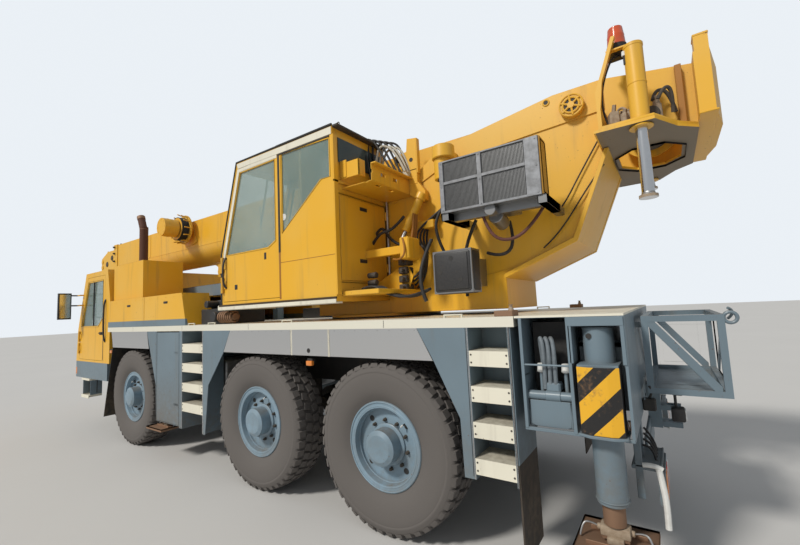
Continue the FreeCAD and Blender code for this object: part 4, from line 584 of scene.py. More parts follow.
NODE_FINISHES = {
    "yellow_paint": (
        "tail_weight", "winch_drum", "crane_cab", "crane_cab_door", "boom_base", "boom_section_1",
        "boom_section_2", "boom_head", "luff_barrel",
    ),
    "yellow_cab": ("cab_shell", "cab_door_left", "cab_door_right"),
    "yellow_hood": ("engine_hood",),
    "yellow_upper": ("upper_frame",),
    "grey_blue_panels": ("side_panels",),
    "grey_blue_boxes": ("outrigger_boxes",),
    "grey_blue_sill": ("cab_sill",),
    "grey_blue_paint": ("boom_rest", "rear_basket",
    "rear_fittings") + tuple("beam_" + name for name in BEAMS),
    "cream_paint": ("deck",),
    "cream_treads": ("ladder_treads",),
    "bright_sheet": ("fenders",),
    "dark_frame": ("frame",),
    "cast_steel": ("axles", "engine_block") + tuple(f"knuckle_{a}_{h}" for a in AXLES for h in SIDES),
    "wheel_paint": tuple(f"rim_{a}_{h}" for a in AXLES for h in SIDES),
    "tyre_rubber": tuple(f"tyre_{a}_{h}" for a in AXLES for h in SIDES),
    "rusty_steel": tuple("foot_" + name for name in BEAMS),
    "chrome": ("luff_rod", "ballast_rod_left", "ballast_rod_right"),
    "cab_glass": ("cab_glass", "crane_cab_glass"),
    "seat_cloth": ("cab_seats", "operator_seat"),
    "cooler_metal": ("oil_cooler",),
}


# Stage
def make_stage(view):
    scene = bpy.context.scene
    scene.view_settings.view_transform = "Standard"
    ground = bmesh.new()
    bmesh.ops.create_grid(ground, x_segments=8, y_segments=8, size=90)
    data = bpy.data.meshes.new("floor")
    ground.to_mesh(data)
    ground.free()
    floor = bpy.data.objects.new("floor", data)
    scene.collection.objects.link(floor)
    finish = Finish("pale_floor")
    cloud = finish.noise(0.35, 3)
    finish.set(Base_Color=finish.mix(cloud, (0.60, 0.59, 0.575), (0.56, 0.55, 0.535)),
            Roughness=0.85 + cloud * 0.1)
    data.materials.append(finish.material)
    world = bpy.data.worlds.new("studio")
    scene.world = world
    world.use_nodes = True
    nodes, links = world.node_tree.nodes, world.node_tree.links
    back = nodes["Background"]
    path = nodes.new("ShaderNodeLightPath")
    shown = nodes.new("ShaderNodeMath")
    shown.operation = "MAXIMUM"
    links.new(path.outputs["Is Camera Ray"], shown.inputs[0])
    links.new(path.outputs["Is Transmission Ray"], shown.inputs[1])
    strength = nodes.new("ShaderNodeMapRange")
    links.new(shown.outputs[0], strength.inputs["Value"])
    strength.inputs["To Min"].default_value = view.fill
    strength.inputs["To Max"].default_value = 0.92
    links.new(strength.outputs[0], back.inputs["Strength"])
    back.inputs["Color"].default_value = (0.90, 0.95, 1.0, 1)
    lamp = bpy.data.lights.new("key", "SUN")
    lamp.energy = view.key
    lamp.angle = math.radians(9)
    lamp.color = (1.0, 0.965, 0.90)
    key = bpy.data.objects.new("key", lamp)
    key.rotation_euler = Vector(view.key_from).to_track_quat("Z", "Y").to_euler()
    scene.collection.objects.link(key)
    lens_data = bpy.data.cameras.new("view")
    lens_data.sensor_fit = "HORIZONTAL"
    lens_data.sensor_width = 36
    lens_data.lens = view.lens
    lens_data.clip_end = 500
    camera = bpy.data.objects.new("view", lens_data)
    yaw, pitch, roll = view.turn
    forward = Vector((math.cos(yaw) * math.cos(pitch), -math.sin(yaw) * math.cos(pitch), math.sin(pitch)))
    right = Vector((-math.sin(yaw), -math.cos(yaw), 0))
    up = right.cross(forward)
    across = right * math.cos(roll) + up * math.sin(roll)
    over = up * math.cos(roll) - right * math.sin(roll)
    turn = Matrix((across, over, -forward)).transposed().to_4x4()
    camera.matrix_world = Matrix.Translation(Vector(view.place)) @ turn
    scene.collection.objects.link(camera)
    scene.camera = camera


# Wheels: tyres with tread blocks, wheel nuts, hand holes and valves
TYRE_WALL = [
    (-127, 320), (-129, 350), (-141, 372), (-160, 400), (-175, 440), (-184, 490), (-187, 540), (-186.5, 575),
    (-183, 592), (-186, 600), (-184, 612), (-179, 620), (-177, 632), (-165, 651), (-150, 660),
]
PITCHES = 44


def tyre_block(form, across, long, low, high, place, skew, drop=0):
    """One tread block in flat coordinates, wrapped on to the tyre's round."""
    made = bmesh.ops.create_cube(form, size=1)["verts"]
    bmesh.ops.scale(form, vec=(long / 1000, (across[1] - across[0]) / 1000, (high - low) / 1000), verts=made)
    for vert in made:
        if vert.co.z > 0:
            vert.co.x *= 0.86
            vert.co.y *= 0.93
    bmesh.ops.rotate(form, cent=(0, 0, 0), matrix=Matrix.Rotation(math.radians(skew), 3, "Z"), verts=made)
    bmesh.ops.translate(form, vec=(place / 1000, sum(across) / 2000, (low + high) / 2000), verts=made)
    for vert in made:
        if abs(vert.co.y) > 0.15:
            vert.co.z -= drop / 1000
            if vert.co.z < low / 1000 - drop / 2000:
                vert.co.y *= 1.05
    edges = list({edge for vert in made for edge in vert.link_edges if all(v.co.z > (low + high) / 2000 - 0.02 for v in edge.verts)})
    grown = bmesh.ops.bevel(form, geom=edges, offset=0.0022, offset_type="OFFSET", segments=1, profile=0.5,
                            affect="EDGES", material=-1, clamp_overlap=True)
    return list(set(grown["verts"]) | {v for v in made if v.is_valid})


def tyre_mesh():
    """One tyre with its axle on Y through the origin."""
    form = Form()
    wall = [(y, r) for y, r in TYRE_WALL]
    points = wall + [(-80, 664), (0, 666), (80, 664)] + [(-y, r) for y, r in reversed(wall)]
    form.turned(points, (-REAR_AXLE, 0, 0), "y", 88)
    lugs = bmesh.new()
    step = math.tau * 685 / PITCHES
    for hand in (1, -1):
        outer = mirrored(hand, (92, 168))
        inner = mirrored(hand, (12, 82))
        tyre_block(lugs, outer, step * 0.76, 650, 682, hand * step * 0.12, hand * 7, 9)
        tyre_block(lugs, inner, step * 0.80, 655, 684.5, hand * step * 0.12 + step * 0.5, -hand * 14)
    for vert in lugs.verts:
        turn = vert.co.x / 0.685
        reach = vert.co.z
        vert.co = (math.sin(turn) * reach, vert.co.y, math.cos(turn) * reach)
    pitch = bpy.data.meshes.new("pitch")
    lugs.to_mesh(pitch)
    lugs.free()
    for n in range(PITCHES):
        held = set(form.mesh.verts)
        form.mesh.from_mesh(pitch)
        fresh = [vert for vert in form.mesh.verts if vert not in held]
        bmesh.ops.rotate(form.mesh, cent=(0, 0, 0), verts=fresh,
                         matrix=Matrix.Rotation(math.tau * n / PITCHES, 3, "Y"))
    bpy.data.meshes.remove(pitch)
    reach = form.mesh.verts.layers.float.new("reach")
    for vert in form.mesh.verts:
        vert[reach] = math.hypot(vert.co.x, vert.co.z)
    bmesh.ops.recalc_face_normals(form.mesh, faces=form.mesh.faces)
    data = bpy.data.meshes.new("tyre")
    form.mesh.to_mesh(data)
    form.mesh.free()
    data.shade_smooth()
    data.set_sharp_from_angle(angle=math.radians(32))
    data.materials.append(bpy.data.materials["tyre_rubber"])
    return data


def make_tyres():
    pattern = tyre_mesh()
    for axle, station in AXLES.items():
        for hand, side in SIDES.items():
            data = pattern.copy()
            turn = Matrix.Rotation(math.radians(3 + 17 * station / 1650), 4, "Y")
            data.transform(Matrix.Translation(at(station, side * TYRE_MIDDLE, AXLE_HEIGHT)) @ turn)
            piece = bpy.data.objects.new(f"tyre_tread_{axle}_{hand}", data)
            bpy.context.scene.collection.objects.link(piece)
            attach(piece, f"wheel_{axle}_{hand}")
            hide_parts(f"tyre_{axle}_{hand}")


def round_places(centre, radius, count, start=0.0):
    """Places round an axis that runs across the machine."""
    x, y, z = centre
    turns = [math.tau * n / count + start for n in range(count)]
    return [(x + radius * math.cos(t), y, z + radius * math.sin(t)) for t in turns]


def make_wheel_parts():
    for axle, station in AXLES.items():
        for hand, side in SIDES.items():
            body = f"wheel_{axle}_{hand}"
            out = "y" if side > 0 else "-y"

            def face(y, r=0.0, turn=0.0):
                return (station + r * math.cos(turn), side * y, AXLE_HEIGHT + r * math.sin(turn))

            rings = Form()
            rings.ring(face(1202), "y", 350, 8, 64)
            rings.ring(face(1196), "y", 318, 9, 64)
            rings.ring(face(1150), "y", 296, 7, 64)
            hub = [(0, 152), (0, 168), (14, 168), (20, 160), (22, 141), (30, 141)]
            rings.turned([(side * p, r) for p, r in hub], face(DISH_FACE), "y", 40)
            cap = [(0, 106), (3, 100), (3, 30), (9, 26), (9, 0)]
            rings.turned([(side * p, r) for p, r in cap], face(1277 - 9), "y", 40)
            rings.done(f"wheel_rings_{axle}_{hand}", body, "wheel_paint", "carrier_grey_blue", 40)
            nuts = Form()
            places = round_places(face(DISH_FACE), 195, 10, 0.2)
            nuts.bolts(places, out, 17, 22)
            nuts.bolts(places, out, 9, 34, 8)
            nuts.bolts(round_places(face(1258), 118, 10), out, 8, 6)
            nuts.done(f"wheel_nuts_{axle}_{hand}", body, "cast_steel", "cast_parts")
            # Black discs on the dish: painted shade in the hand holes; the valve stem is black rubber.
            holes = Form()
            for place in round_places(face(DISH_FACE + 1), 250, 4, 0.85):
                end = (place[0], place[1] + side * 2, place[2])
                holes.rod(place, end, 24, sides=20)
            valve = 2.35 - 0.5 * station / 1650
            holes.hose([face(1135, 262, valve), face(1150, 255, valve), face(1172, 246, valve)], 6)
            holes.done(f"wheel_holes_{axle}_{hand}", body, "black_rubber", "cast_parts")
            tip = Form()
            tip.rod(face(1168, 248, valve), face(1186, 240, valve), 9, 7, 10)
            tip.done(f"valve_cap_{axle}_{hand}", body, "white_plastic")


# Carrier sides: ladders, panels, fenders, markers and deck fittings
LADDERS = ((-1130, 300, 620), (2600, 500, 440))


def make_ladder_parts():
    for hand, side in SIDES.items():
        screws, rails = Form(), Form()
        out = "y" if side > 0 else "-y"
        for station, width, low in LADDERS:
            for n in range(4):
                top = 1480 - 240 * n
                for x in (station + 24, station + width - 24):
                    places = [(x, side * (HALF_WIDTH - 1), top - drop) for drop in (26, 79)]
                    screws.bolts(places, out, 7, 4, 10)
            for x in (station - 2, station + width - 8):
                rails.box((x, x + 10), mirrored(side, (HALF_WIDTH - 2, HALF_WIDTH)), (low, DECK_UNDER), 1)
        screws.done(f"ladder_screws_{hand}", "chassis", "cast_steel")
        rails.rod((2625, side * 1262, 440), (2625, side * 1262, 1640), 9)
        rails.done(f"ladder_stiles_{hand}", "chassis", "silver_metal")


def make_panel_parts():
    for hand, side in SIDES.items():
        face = mirrored(side, (HALF_WIDTH - 1, HALF_WIDTH))
        seams, strips, orange, black = Form(), Form(), Form(), Form()
        for x in (-110, 1700, 3095, 4520):
            seams.box((x, x + 5), mirrored(side, (HALF_WIDTH - 2, HALF_WIDTH)), (1645, 1705), 0)
        for x, low in ((-825, 640), (3172, 470), (3757, 470), (3790, 470)):
            seams.box((x, x + 5), face, (low, DECK_UNDER), 0)
        seams.box((3172, 3760), face, (468, 472), 0)
        seams.done(f"panel_seams_{hand}", "chassis", "black_rubber")
        for x in (503, 1003):
            strips.box((x, x + 24), mirrored(side, (HALF_WIDTH - 4, HALF_WIDTH)), (1398, 1638), 1)
        strips.done(f"fender_strips_{hand}", "chassis", "cream_treads", "cream_paint")
        for x, z in ((781, 1330), (2406, 1320), (5330, 1330)):
            black.box((x - 34, x + 34), mirrored(side, (1225, 1262)), (z - 5, z + 40), 3)
            orange.box((x - 38, x + 38), mirrored(side, (1240, 1274)), (z - 24, z + 22), 7, segments=2)
        black.rod((777, side * 1262, 1446), (777, side * 1275, 1446), 24, 22, 24)
        black.done(f"marker_feet_{hand}", "chassis", "black_plastic")
        orange.done(f"side_markers_{hand}", "chassis", "orange_lens")
        rivets = Form()
        for x in range(-400, 2040, 120):
            if not 500 < x < 1030:
                rivets.bolts([(x, side * (HALF_WIDTH - 1), 1625)], "y" if side > 0 else "-y", 5, 2, 10)
        rivets.done(f"fender_rivets_{hand}", "chassis", "silver_metal", "bright_sheet")


def make_deck_fittings():
    for hand, side in SIDES.items():
        loops = Form()
        for x in (-715, 2480, 1120, 3020 - 80):
            y = side * 1235
            loops.hose([(x - 70, y, DECK_TOP - 2), (x - 70, y, DECK_TOP + 20), (x + 70, y, DECK_TOP + 20),
                        (x + 70, y, DECK_TOP - 2)], 9, 2)
        loops.done(f"lashing_loops_{hand}", "chassis", "cream_treads", "cream_paint")
        blocks = Form()
        blocks.box((-1168, -1040), mirrored(side, (1150, 1272)), (DECK_TOP - 1, DECK_TOP + 38), 4)
        blocks.done(f"wear_blocks_{hand}", "chassis", "rusty_steel", "rusty_steel")
        knobs = Form()
        knobs.rod((-1140, side * 1215, DECK_TOP + 36), (-1140, side * 1215, DECK_TOP + 62), 20, 13)
        knobs.rod((-1140, side * 1215, DECK_TOP + 60), (-1140, side * 1215, DECK_TOP + 78), 8, 15)
        knobs.done(f"stop_knobs_{hand}", "chassis", "pale_cast")
    gear = Form()
    gear.box((2380, 2930), (560, 1120), (DECK_TOP, 1900), 12)
    gear.box((2450, 2800), (640, 1000), (1895, 2010), 16)
    gear.rod((2540, 1010, 1800), (2540, 1190, 1800), 62, ease=6)
    gear.rod((2760, 980, 1960), (2760, 1150, 1960), 45, ease=5)
    gear.box((2380, 2930), (-1120, -560), (DECK_TOP, 1870), 12)
    gear.done("deck_machinery", "chassis", "black_plastic", "frame_dark")
    coil = Form()
    for n in range(7):
        coil.ring((2180 + 42 * n, 1130, 1792), "x", 58, 11, 28, 6)
    coil.rod((2150, 1130, 1792), (2470, 1130, 1792), 40)
    coil.done("return_spring", "chassis", "rusty_steel", "rusty_steel")
    pipes = Form()
    for n in range(4):
        y = 620 + 70 * n
        pipes.hose([(2930, y, 1760), (2960, y, 1850), (2900, y + 20, 2050), (2700, y + 30, 2090),
                    (2560, y, 2000), (2500, y - 30, 1860)], 16)
    pipes.done("deck_hoses", "chassis", "black_rubber", "frame_dark")


# Engine hood, exhaust and boom rest
def make_hood_parts():
    for hand, side in SIDES.items():
        band, slots = Form(), Form()
        out = "y" if side > 0 else "-y"
        band.box((3030, 5462), mirrored(side, (1262, 1269)), (1711, 1795), 1)
        band.done(f"hood_band_{hand}", "chassis", "grey_blue_paint", "carrier_grey_blue")
        for x in (3500, 4650):
            slots.box((x, x + 110), mirrored(side, (1262, 1270)), (2010, 2040), 5, segments=2)
            slots.box((x + 12, x + 98), mirrored(side, (1268, 1273)), (2019, 2032), 3)
        slots.done(f"hood_fittings_{hand}", "chassis", "black_rubber")
        lips = Form()
        lips.box((4190, 4200), mirrored(side, (1263, 1269)), (1800, 2120), 1)
        lips.bolts([(3100 + 230 * n, side * 1264, 2095) for n in range(10)], out, 7, 4, 10)
        lips.done(f"hood_lips_{hand}", "chassis", "yellow_paint", "crane_yellow")
    louvres = Form()
    for n in range(11):
        z = 2190 + 44 * n
        louvres.box((5446, 5456), (680, 1140), (z, z + 24), 4, ("y", 24))
    louvres.done("intake_louvres", "chassis", "yellow_paint", "crane_yellow")
    collar = Form()
    collar.ring((4550, 1135, 2706), "z", 58, 7, 40)
    collar.ring((4550, 1135, 3196), "z", 56, 4, 40)
    collar.rod((4639, 1135, 3363), (4661, 1135, 3410), 56, 56, 32)
    collar.done("exhaust_clamps", "chassis", "rusty_steel", "rusty_steel")
    mouth = Form()
    mouth.rod((4660, 1135, 3408), (4662, 1135, 3412), 48, 48, 32)
    mouth.done("exhaust_mouth", "chassis", "black_rubber")
    rest = Form()
    rest.plate("xz", [(4870, 2131), (5060, 2131), (4870, 2296)], (-460, 460), 6)
    rest.box((3420, 4780), (-420, 420), (2298, 2312), 5)
    rest.done("rest_nose", "chassis", "grey_blue_paint", "carrier_grey_blue")
    pads = Form()
    for y in (-330, 210):
        pads.box((3700, 4700), (y, y + 120), (2311, 2330), 4)
    pads.done("rest_pads", "chassis", "black_rubber")


# Carrier cab: panes, seals, mirrors, lamps, wipers and inside
CAB_WINDOW = [(5790, 1880), (5970, 1745), (6710, 1745), (6425, 2500), (5790, 2500)]


def grown(points, by):
    """An outline moved out from its own middle."""
    middle = [sum(values) / len(points) for values in zip(*points)]
    result = []
    for a, b in points:
        run = Vector((a - middle[0], b - middle[1]))
        reach = run.normalized() * by * 1.3
        result.append((a + reach.x, b + reach.y))
    return result


def make_cab_parts():
    for hand, side in SIDES.items():
        body = f"cab_door_{hand}"
        panes, seals, grips = Form(), Form(), Form()
        panes.plate("xz", grown(CAB_WINDOW, 6), mirrored(side, (1221, 1226)), 0)
        panes.done(f"cab_door_pane_{hand}", body, "cab_glass", "cab_pane")
        seals.border("xz", grown(CAB_WINDOW, 16), 26, mirrored(side, (1238, 1245)), 2)
        seals.border("xz", grown(CAB_WINDOW, 5), 14, mirrored(side, (1200, 1238)))
        seals.rod((6180, side * 1239, 1745), (6180, side * 1239, 2500), 10, sides=8)
        seals.box((5770, 5900), mirrored(side, (1238, 1246)), (1592, 1640), 6)
        seals.done(f"cab_door_seal_{hand}", body, "black_rubber")
        grips.hose([(5785, side * 1240, 1628), (5785, side * 1262, 1622), (5885, side * 1262, 1622),
                    (5885, side * 1240, 1628)], 7, 2)
        grips.box((5740, 5756), mirrored(side, (1238, 1243)), (1180, 1560), 2)
        grips.done(f"cab_door_grip_{hand}", body, "black_plastic")
        rails = Form()
        rails.hose([(5655, side * 1240, 1480), (5655, side * 1272, 1500), (5655, side * 1272, 2150),
                    (5655, side * 1240, 2170)], 13)
        rails.done(f"cab_grab_rail_{hand}", "chassis", "black_plastic")
        glass = Form()
        glass.box((6757, 6761), mirrored(side, (1402, 1558)), (1900, 2320), 3)
        glass.done(f"mirror_glass_{hand}", "chassis", "mirror_glass")
        rim = Form()
        rim.border("yz", [(side * 1392, 1882), (side * 1568, 1882), (side * 1568, 2338), (side * 1392, 2338)],
                   14, (6752, 6762), 3)
        rim.done(f"mirror_rim_{hand}", "chassis", "black_plastic")
        steps = Form()
        steps.box((6240, 6600), mirrored(side, (1070, 1262)), (815, 849), 4)
        steps.box((6252, 6588), mirrored(side, (1250, 1262)), (520, 575), 3)
        steps.done(f"cab_steps_{hand}", "chassis", "cream_treads", "cream_paint")
        inner = Form()
        inner.box((6245, 6595), mirrored(side, (1140, 1150)), (600, 820), 2)
        inner.done(f"cab_step_back_{hand}", "chassis", "black_rubber")
        lamps, frames = Form(), Form()
        frames.box((6938, 6956), mirrored(side, (800, 1150)), (880, 1040), 10)
        for y, r in ((890, 62), (1050, 62)):
            lamps.rod((6944, side * y, 960), (6958, side * y, 960), r, r * 0.93, 32)
        frames.done(f"headlamp_frame_{hand}", "chassis", "black_plastic")
        lamps.done(f"headlamps_{hand}", "chassis", "clear_lens")
        corner = Form()
        corner.box((6900, 6958), mirrored(side, (1170, 1244)), (900, 1020), 8, segments=2)
        corner.done(f"corner_lamp_{hand}", "chassis", "orange_lens")
    screen = Form()
    slope = (6900 - 6560) / (2670 - 1700)

    def on_screen(z, out=0.0):
        return 6900 - (z - 1700) * slope + out

    for y in (-1068, 1048):
        screen.hose([(on_screen(1738, 3), y + 10, 1738), (on_screen(2588, 3), y + 10, 2588)], 12, 2)
    for z in (1740, 2584):
        screen.hose([(on_screen(z, 3), -1060, z), (on_screen(z, 3), 1060, z)], 12, 2)
    screen.hose([(on_screen(1752, 10), 0, 1752), (on_screen(2580, 10), 0, 2580)], 7, 2)
    for start, end in ((-820, -180), (160, 800)):
        screen.hose([(on_screen(1730, 22), start, 1730), (on_screen(1900, 24), (start + end) / 2, 1900),
                     (on_screen(2020, 22), end, 2020)], 6)
        screen.box((on_screen(2000, 8), on_screen(2000, 22)), (end - 20, end + 20), (1780, 2260), 3, ("y",
                -19))
    screen.done("windscreen_seal", "chassis", "black_rubber")
    front = Form()
    for n in range(7):
        z = 1210 + 52 * n
        front.box((6938, 6952), (-620, 620), (z, z + 30), 5, ("y", 20))
    front.border("yz", [(-680, 1180), (680, 1180), (680, 1590), (-680, 1590)], 40, (6936, 6950), 4)
    front.box((6880, 6958), (-1238, 1238), (852, 872), 6)
    front.done("cab_grille", "chassis", "black_plastic")
    roof = Form()
    roof.box((5600, 6560), (-1180, 1180), (2664, 2672), 3)
    roof.box((6480, 6600), (-1150, 1150), (2560, 2600), 8)
    roof.box((5700, 5740), (-1200, 1200), (2666, 2678), 2)
    roof.done("cab_roof_trim", "chassis", "yellow_paint", "crane_yellow")
    inside = Form()
    inside.box((6560, 6800), (-1150, 1150), (1480, 1660), 30, segments=2)
    inside.box((6500, 6620), (-200, 200), (1360, 1640), 20)
    inside.box((5560, 5640), (-1150, 1150), (1180, 2080), 20)
    inside.done("cab_dashboard", "chassis", "grey_interior")
    wheel = Form()
    wheel.turned([(14 * math.sin(t), 215 + 14 * math.cos(t)) for t in [math.tau * n / 8 for n in range(8)]],
                 (6430, 620, 1760), "z", 40, closed=True)
    wheel.rod((6430, 620, 1755), (6560, 620, 1540), 26)
    for turn in (0.5, 2.6, 4.7):
        wheel.rod((6430, 620, 1760), (6430 + 210 * math.cos(turn), 620 + 210 * math.sin(turn), 1760), 11,
                sides=8)
    wheel.done("steering_wheel", "chassis", "black_plastic")


# Seats: cushions swollen by a short cloth simulation
def swollen(name, size, cap):
    """A padded block of the given size about the origin, in metres."""
    form = bmesh.new()
    made = bmesh.ops.create_cube(form, size=1)["verts"]
    bmesh.ops.scale(form, vec=[v * 0.9 for v in size], verts=made)
    bmesh.ops.bevel(form, geom=form.edges[:], offset=0.028, offset_type="OFFSET", segments=3, profile=0.5,
                    affect="EDGES", material=-1, clamp_overlap=True)
    data = bpy.data.meshes.new(name)
    form.to_mesh(data)
    form.free()
    pad = bpy.data.objects.new(name, data)
    bpy.context.scene.collection.objects.link(pad)
    remesh = pad.modifiers.new("even", "REMESH")
    remesh.mode = "VOXEL"
    remesh.voxel_size = 0.006
    settle(pad)
    before = [vert.co.copy() for vert in pad.data.vertices]
    cloth = pad.modifiers.new("air", "CLOTH")
    cloth.settings.use_pressure = True
    cloth.settings.uniform_pressure_force = 4
    cloth.settings.effector_weights.gravity = 0
    cloth.settings.quality = 3
    cloth.collision_settings.use_collision = False
    cloth.point_cache.frame_start = 1
    cloth.point_cache.frame_end = 12
    for number in range(1, 13):
        bpy.context.scene.frame_set(number)
    settle(pad)
    bpy.context.scene.frame_set(1)
    for vert, start in zip(pad.data.vertices, before):
        moved = vert.co - start
        if moved.length > cap:
            vert.co = start + moved.normalized() * cap
    return pad


def settle(piece):
    """Applies the modifiers of a piece."""
    bpy.context.view_layer.update()
    shape = bpy.data.meshes.new_from_object(piece.evaluated_get(bpy.context.evaluated_depsgraph_get()))
    piece.modifiers.clear()
    piece.data = shape


def channels(data, axis, count, depth, size):
    """Sewn channels pressed into the seat side of a pad."""
    for vert in data.vertices:
        place = vert.co[axis] / size + 0.5
        groove = abs(math.sin(place * math.pi * count)) ** 0.35
        vert.co.z += (groove - 1) * depth if vert.co.z > 0 else 0


def make_seats():
    cushion = swollen("cushion", (0.50, 0.50, 0.13), 0.016)
    back = swollen("back_pad", (0.72, 0.50, 0.14), 0.016)
    channels(cushion.data, 1, 3, 0.012, 0.45)
    channels(back.data, 0, 4, 0.012, 0.65)
    seats = (
        ("driver", 5800, 620, 1165, 1.0, "chassis", "cab_seats"),
        ("passenger", 5800, -620, 1165, 1.0, "chassis", "cab_seats"),
        ("operator", 1070, 852.5, 1960, 0.96, "upper", "operator_seat"),
    )
    for label, x, y, z, width, body, node in seats:
        places = (
            (cushion, f"{label}_cushion", Matrix.Translation(at(x + 250, y, z + 365))),
            (back, f"{label}_back", Matrix.Translation(at(x - 18, y,
            z + 685)) @ Matrix.Rotation(math.radians(-90), 4, "Y")),
        )
        for pattern, name, place in places:
            data = pattern.data.copy()
            data.transform(place @ Matrix.Diagonal((0.98, width, 0.98, 1)))
            data.shade_smooth()
            data.materials.clear()
            data.materials.append(bpy.data.materials["seat_cloth"])
            piece = bpy.data.objects.new(name, data)
            bpy.context.scene.collection.objects.link(piece)
            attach(piece, body)
            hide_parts(node)
        stand = Form()
        stand.box((x + 120, x + 380), (y - 120, y + 120), (z, z + 250), 14)
        stand.box((x + 10, x + 480), (y - 215, y + 215), (z + 250, z + 296), 10)
        stand.box((x - 100, x - 86), (y - 200, y + 200), (z + 330, z + 1020), 8)
        stand.rod((x - 92, y - 180, z + 300), (x + 60, y - 180, z + 275), 16)
        stand.rod((x - 92, y + 180, z + 300), (x + 60, y + 180, z + 275), 16)
        stand.done(f"{label}_seat_stand", body, "black_plastic")
    for pattern in (cushion, back):
        bpy.data.objects.remove(pattern)


# Boom: cable reel, collars, head fittings and rope on the winch
def make_boom_parts():
    reel = Form()
    reel.rod((4800, 662, 3330), (4800, 778, 3330), 160, 150, 8, 6)
    for place in round_places((4800, 402, 3330), 236, 12):
        x, y, z = place
        tip = (4800 + (x - 4800) * 1.06, 520, 3330 + (z - 3330) * 1.06)
        reel.hose([(x, y, z), (x, 470, z), tip], 9, 2)
    reel.bolts(round_places((4800, 776, 3330), 120, 8), "y", 10, 8)
    reel.rod((4800, 776, 3330), (4800, 779, 3330), 60, 50, 24)
    reel.plate("xz", [(4560, 3100), (4700, 3060), (4900, 3060), (5010, 3120), (4900, 3420), (4700, 3420)],
            (300, 312), 3)
    reel.done("cable_reel_parts", "boom_base", "yellow_paint", "crane_yellow")
    cable = Form()
    for n in range(10):
        cable.ring((4800, 418 + 12 * n, 3330), "y", 190 + 3 * (n % 2), 7, 40, 6)
    cable.done("reel_cable", "boom_base", "black_rubber")
    collar = Form()
    for z in (3130, 3300, 3440):
        for side in SIDES.values():
            collar.rod((7990, side * 306, z), (7990, side * 352, z), 22, 18)
    for y in (-200, 0, 200):
        collar.rod((7990, y, 3486), (7990, y, 3540), 20, 16)
    collar.done("collar_pins", "boom_base", "cast_steel")
    seams = Form()
    for side in SIDES.values():
        seams.box((-640, 7860), mirrored(side, (299, 304)), (3014, 3026), 1)
        for x in (620, 2500, 6300):
            seams.box((x, x + 60), mirrored(side, (299, 306)), (3030, 3474), 2)
    for x in (-500, 1200, 3000, 5600, 7200):
        seams.box((x, x + 80), (-120, 120), (3478, 3500), 4)
    seams.plate("xz", [(2700, 2745), (3500, 2470), (4010, 2480), (4400, 2700), (4700, 2730)], (63, 71), 2)
    seams.plate("xz", [(2700, 2745), (3500, 2470), (4010, 2480), (4400, 2700), (4700, 2730)], (-71, -63), 2)
    seams.done("boom_seams", "boom_base", "yellow_paint", "crane_yellow")
    head = Form()
    for x, z in ((8620, 3130), (8350, 3250)):
        for side in SIDES.values():
            head.rod((x, side * 240, z), (x, side * 251, z), 62, 55, 24)
            head.bolts(round_places((x, side * 249, z), 46, 6), "y" if side > 0 else "-y", 7, 3)
    head.done("head_pin_caps", "boom_head", "cast_steel")
    fittings = Form()
    for side in SIDES.values():
        fittings.rod((8890, side * 235, 3080), (8890, side * 252, 3080), 44, 44, 24)
        fittings.rod((8890, side * 235, 3210), (8890, side * 252, 3210), 44, 44, 24)
        fittings.box((8200, 8320), mirrored(side, (238, 250)), (2880, 2960), 3)
    fittings.box((8460, 8600), (-120, 120), (3405, 3440), 6)
    fittings.rod((8620, -238, 3420), (8620, 238, 3420), 14)
    fittings.done("head_fittings", "boom_head", "yellow_paint", "crane_yellow")
    rims = Form()
    for x, z in ((8620, 3130), (8350, 3250)):
        for y in (-75, 75):
            for shift in (-20, 20):
                rims.ring((x, y + shift, z), "y", 134, 6, 40, 6)
    rims.done("sheave_rims", "boom_head", "cast_steel")
    rope = Form()
    for n in range(25):
        rope.ring((-2010, -264 + 22 * n, 3260), "y", 158, 11, 40, 6)
    rope.done("winch_rope", "winch_drum", "wire_rope")
    motor = Form()
    for side in SIDES.values():
        motor.bolts(round_places((-2010, side * 299, 3260), 195, 12), "y" if side > 0 else "-y", 10, 6)
    motor.done("winch_bolts", "winch_drum", "cast_steel")


# Crane cab: door pane, seals, roof edges, handles, cabinet door and controls
CRANE_DOOR_WINDOW = [(1260, 2560), (1380, 2500), (2140, 2500), (1860, 3410), (1260, 3410)]
CRANE_REAR_WINDOW = [(1140, 2620), (1140, 3440), (465, 3410), (465, 3045), (585, 3045)]
CRANE_RIGHT_WINDOW = [(940, 2500), (2110, 2500), (1860, 3410), (940, 3410)]


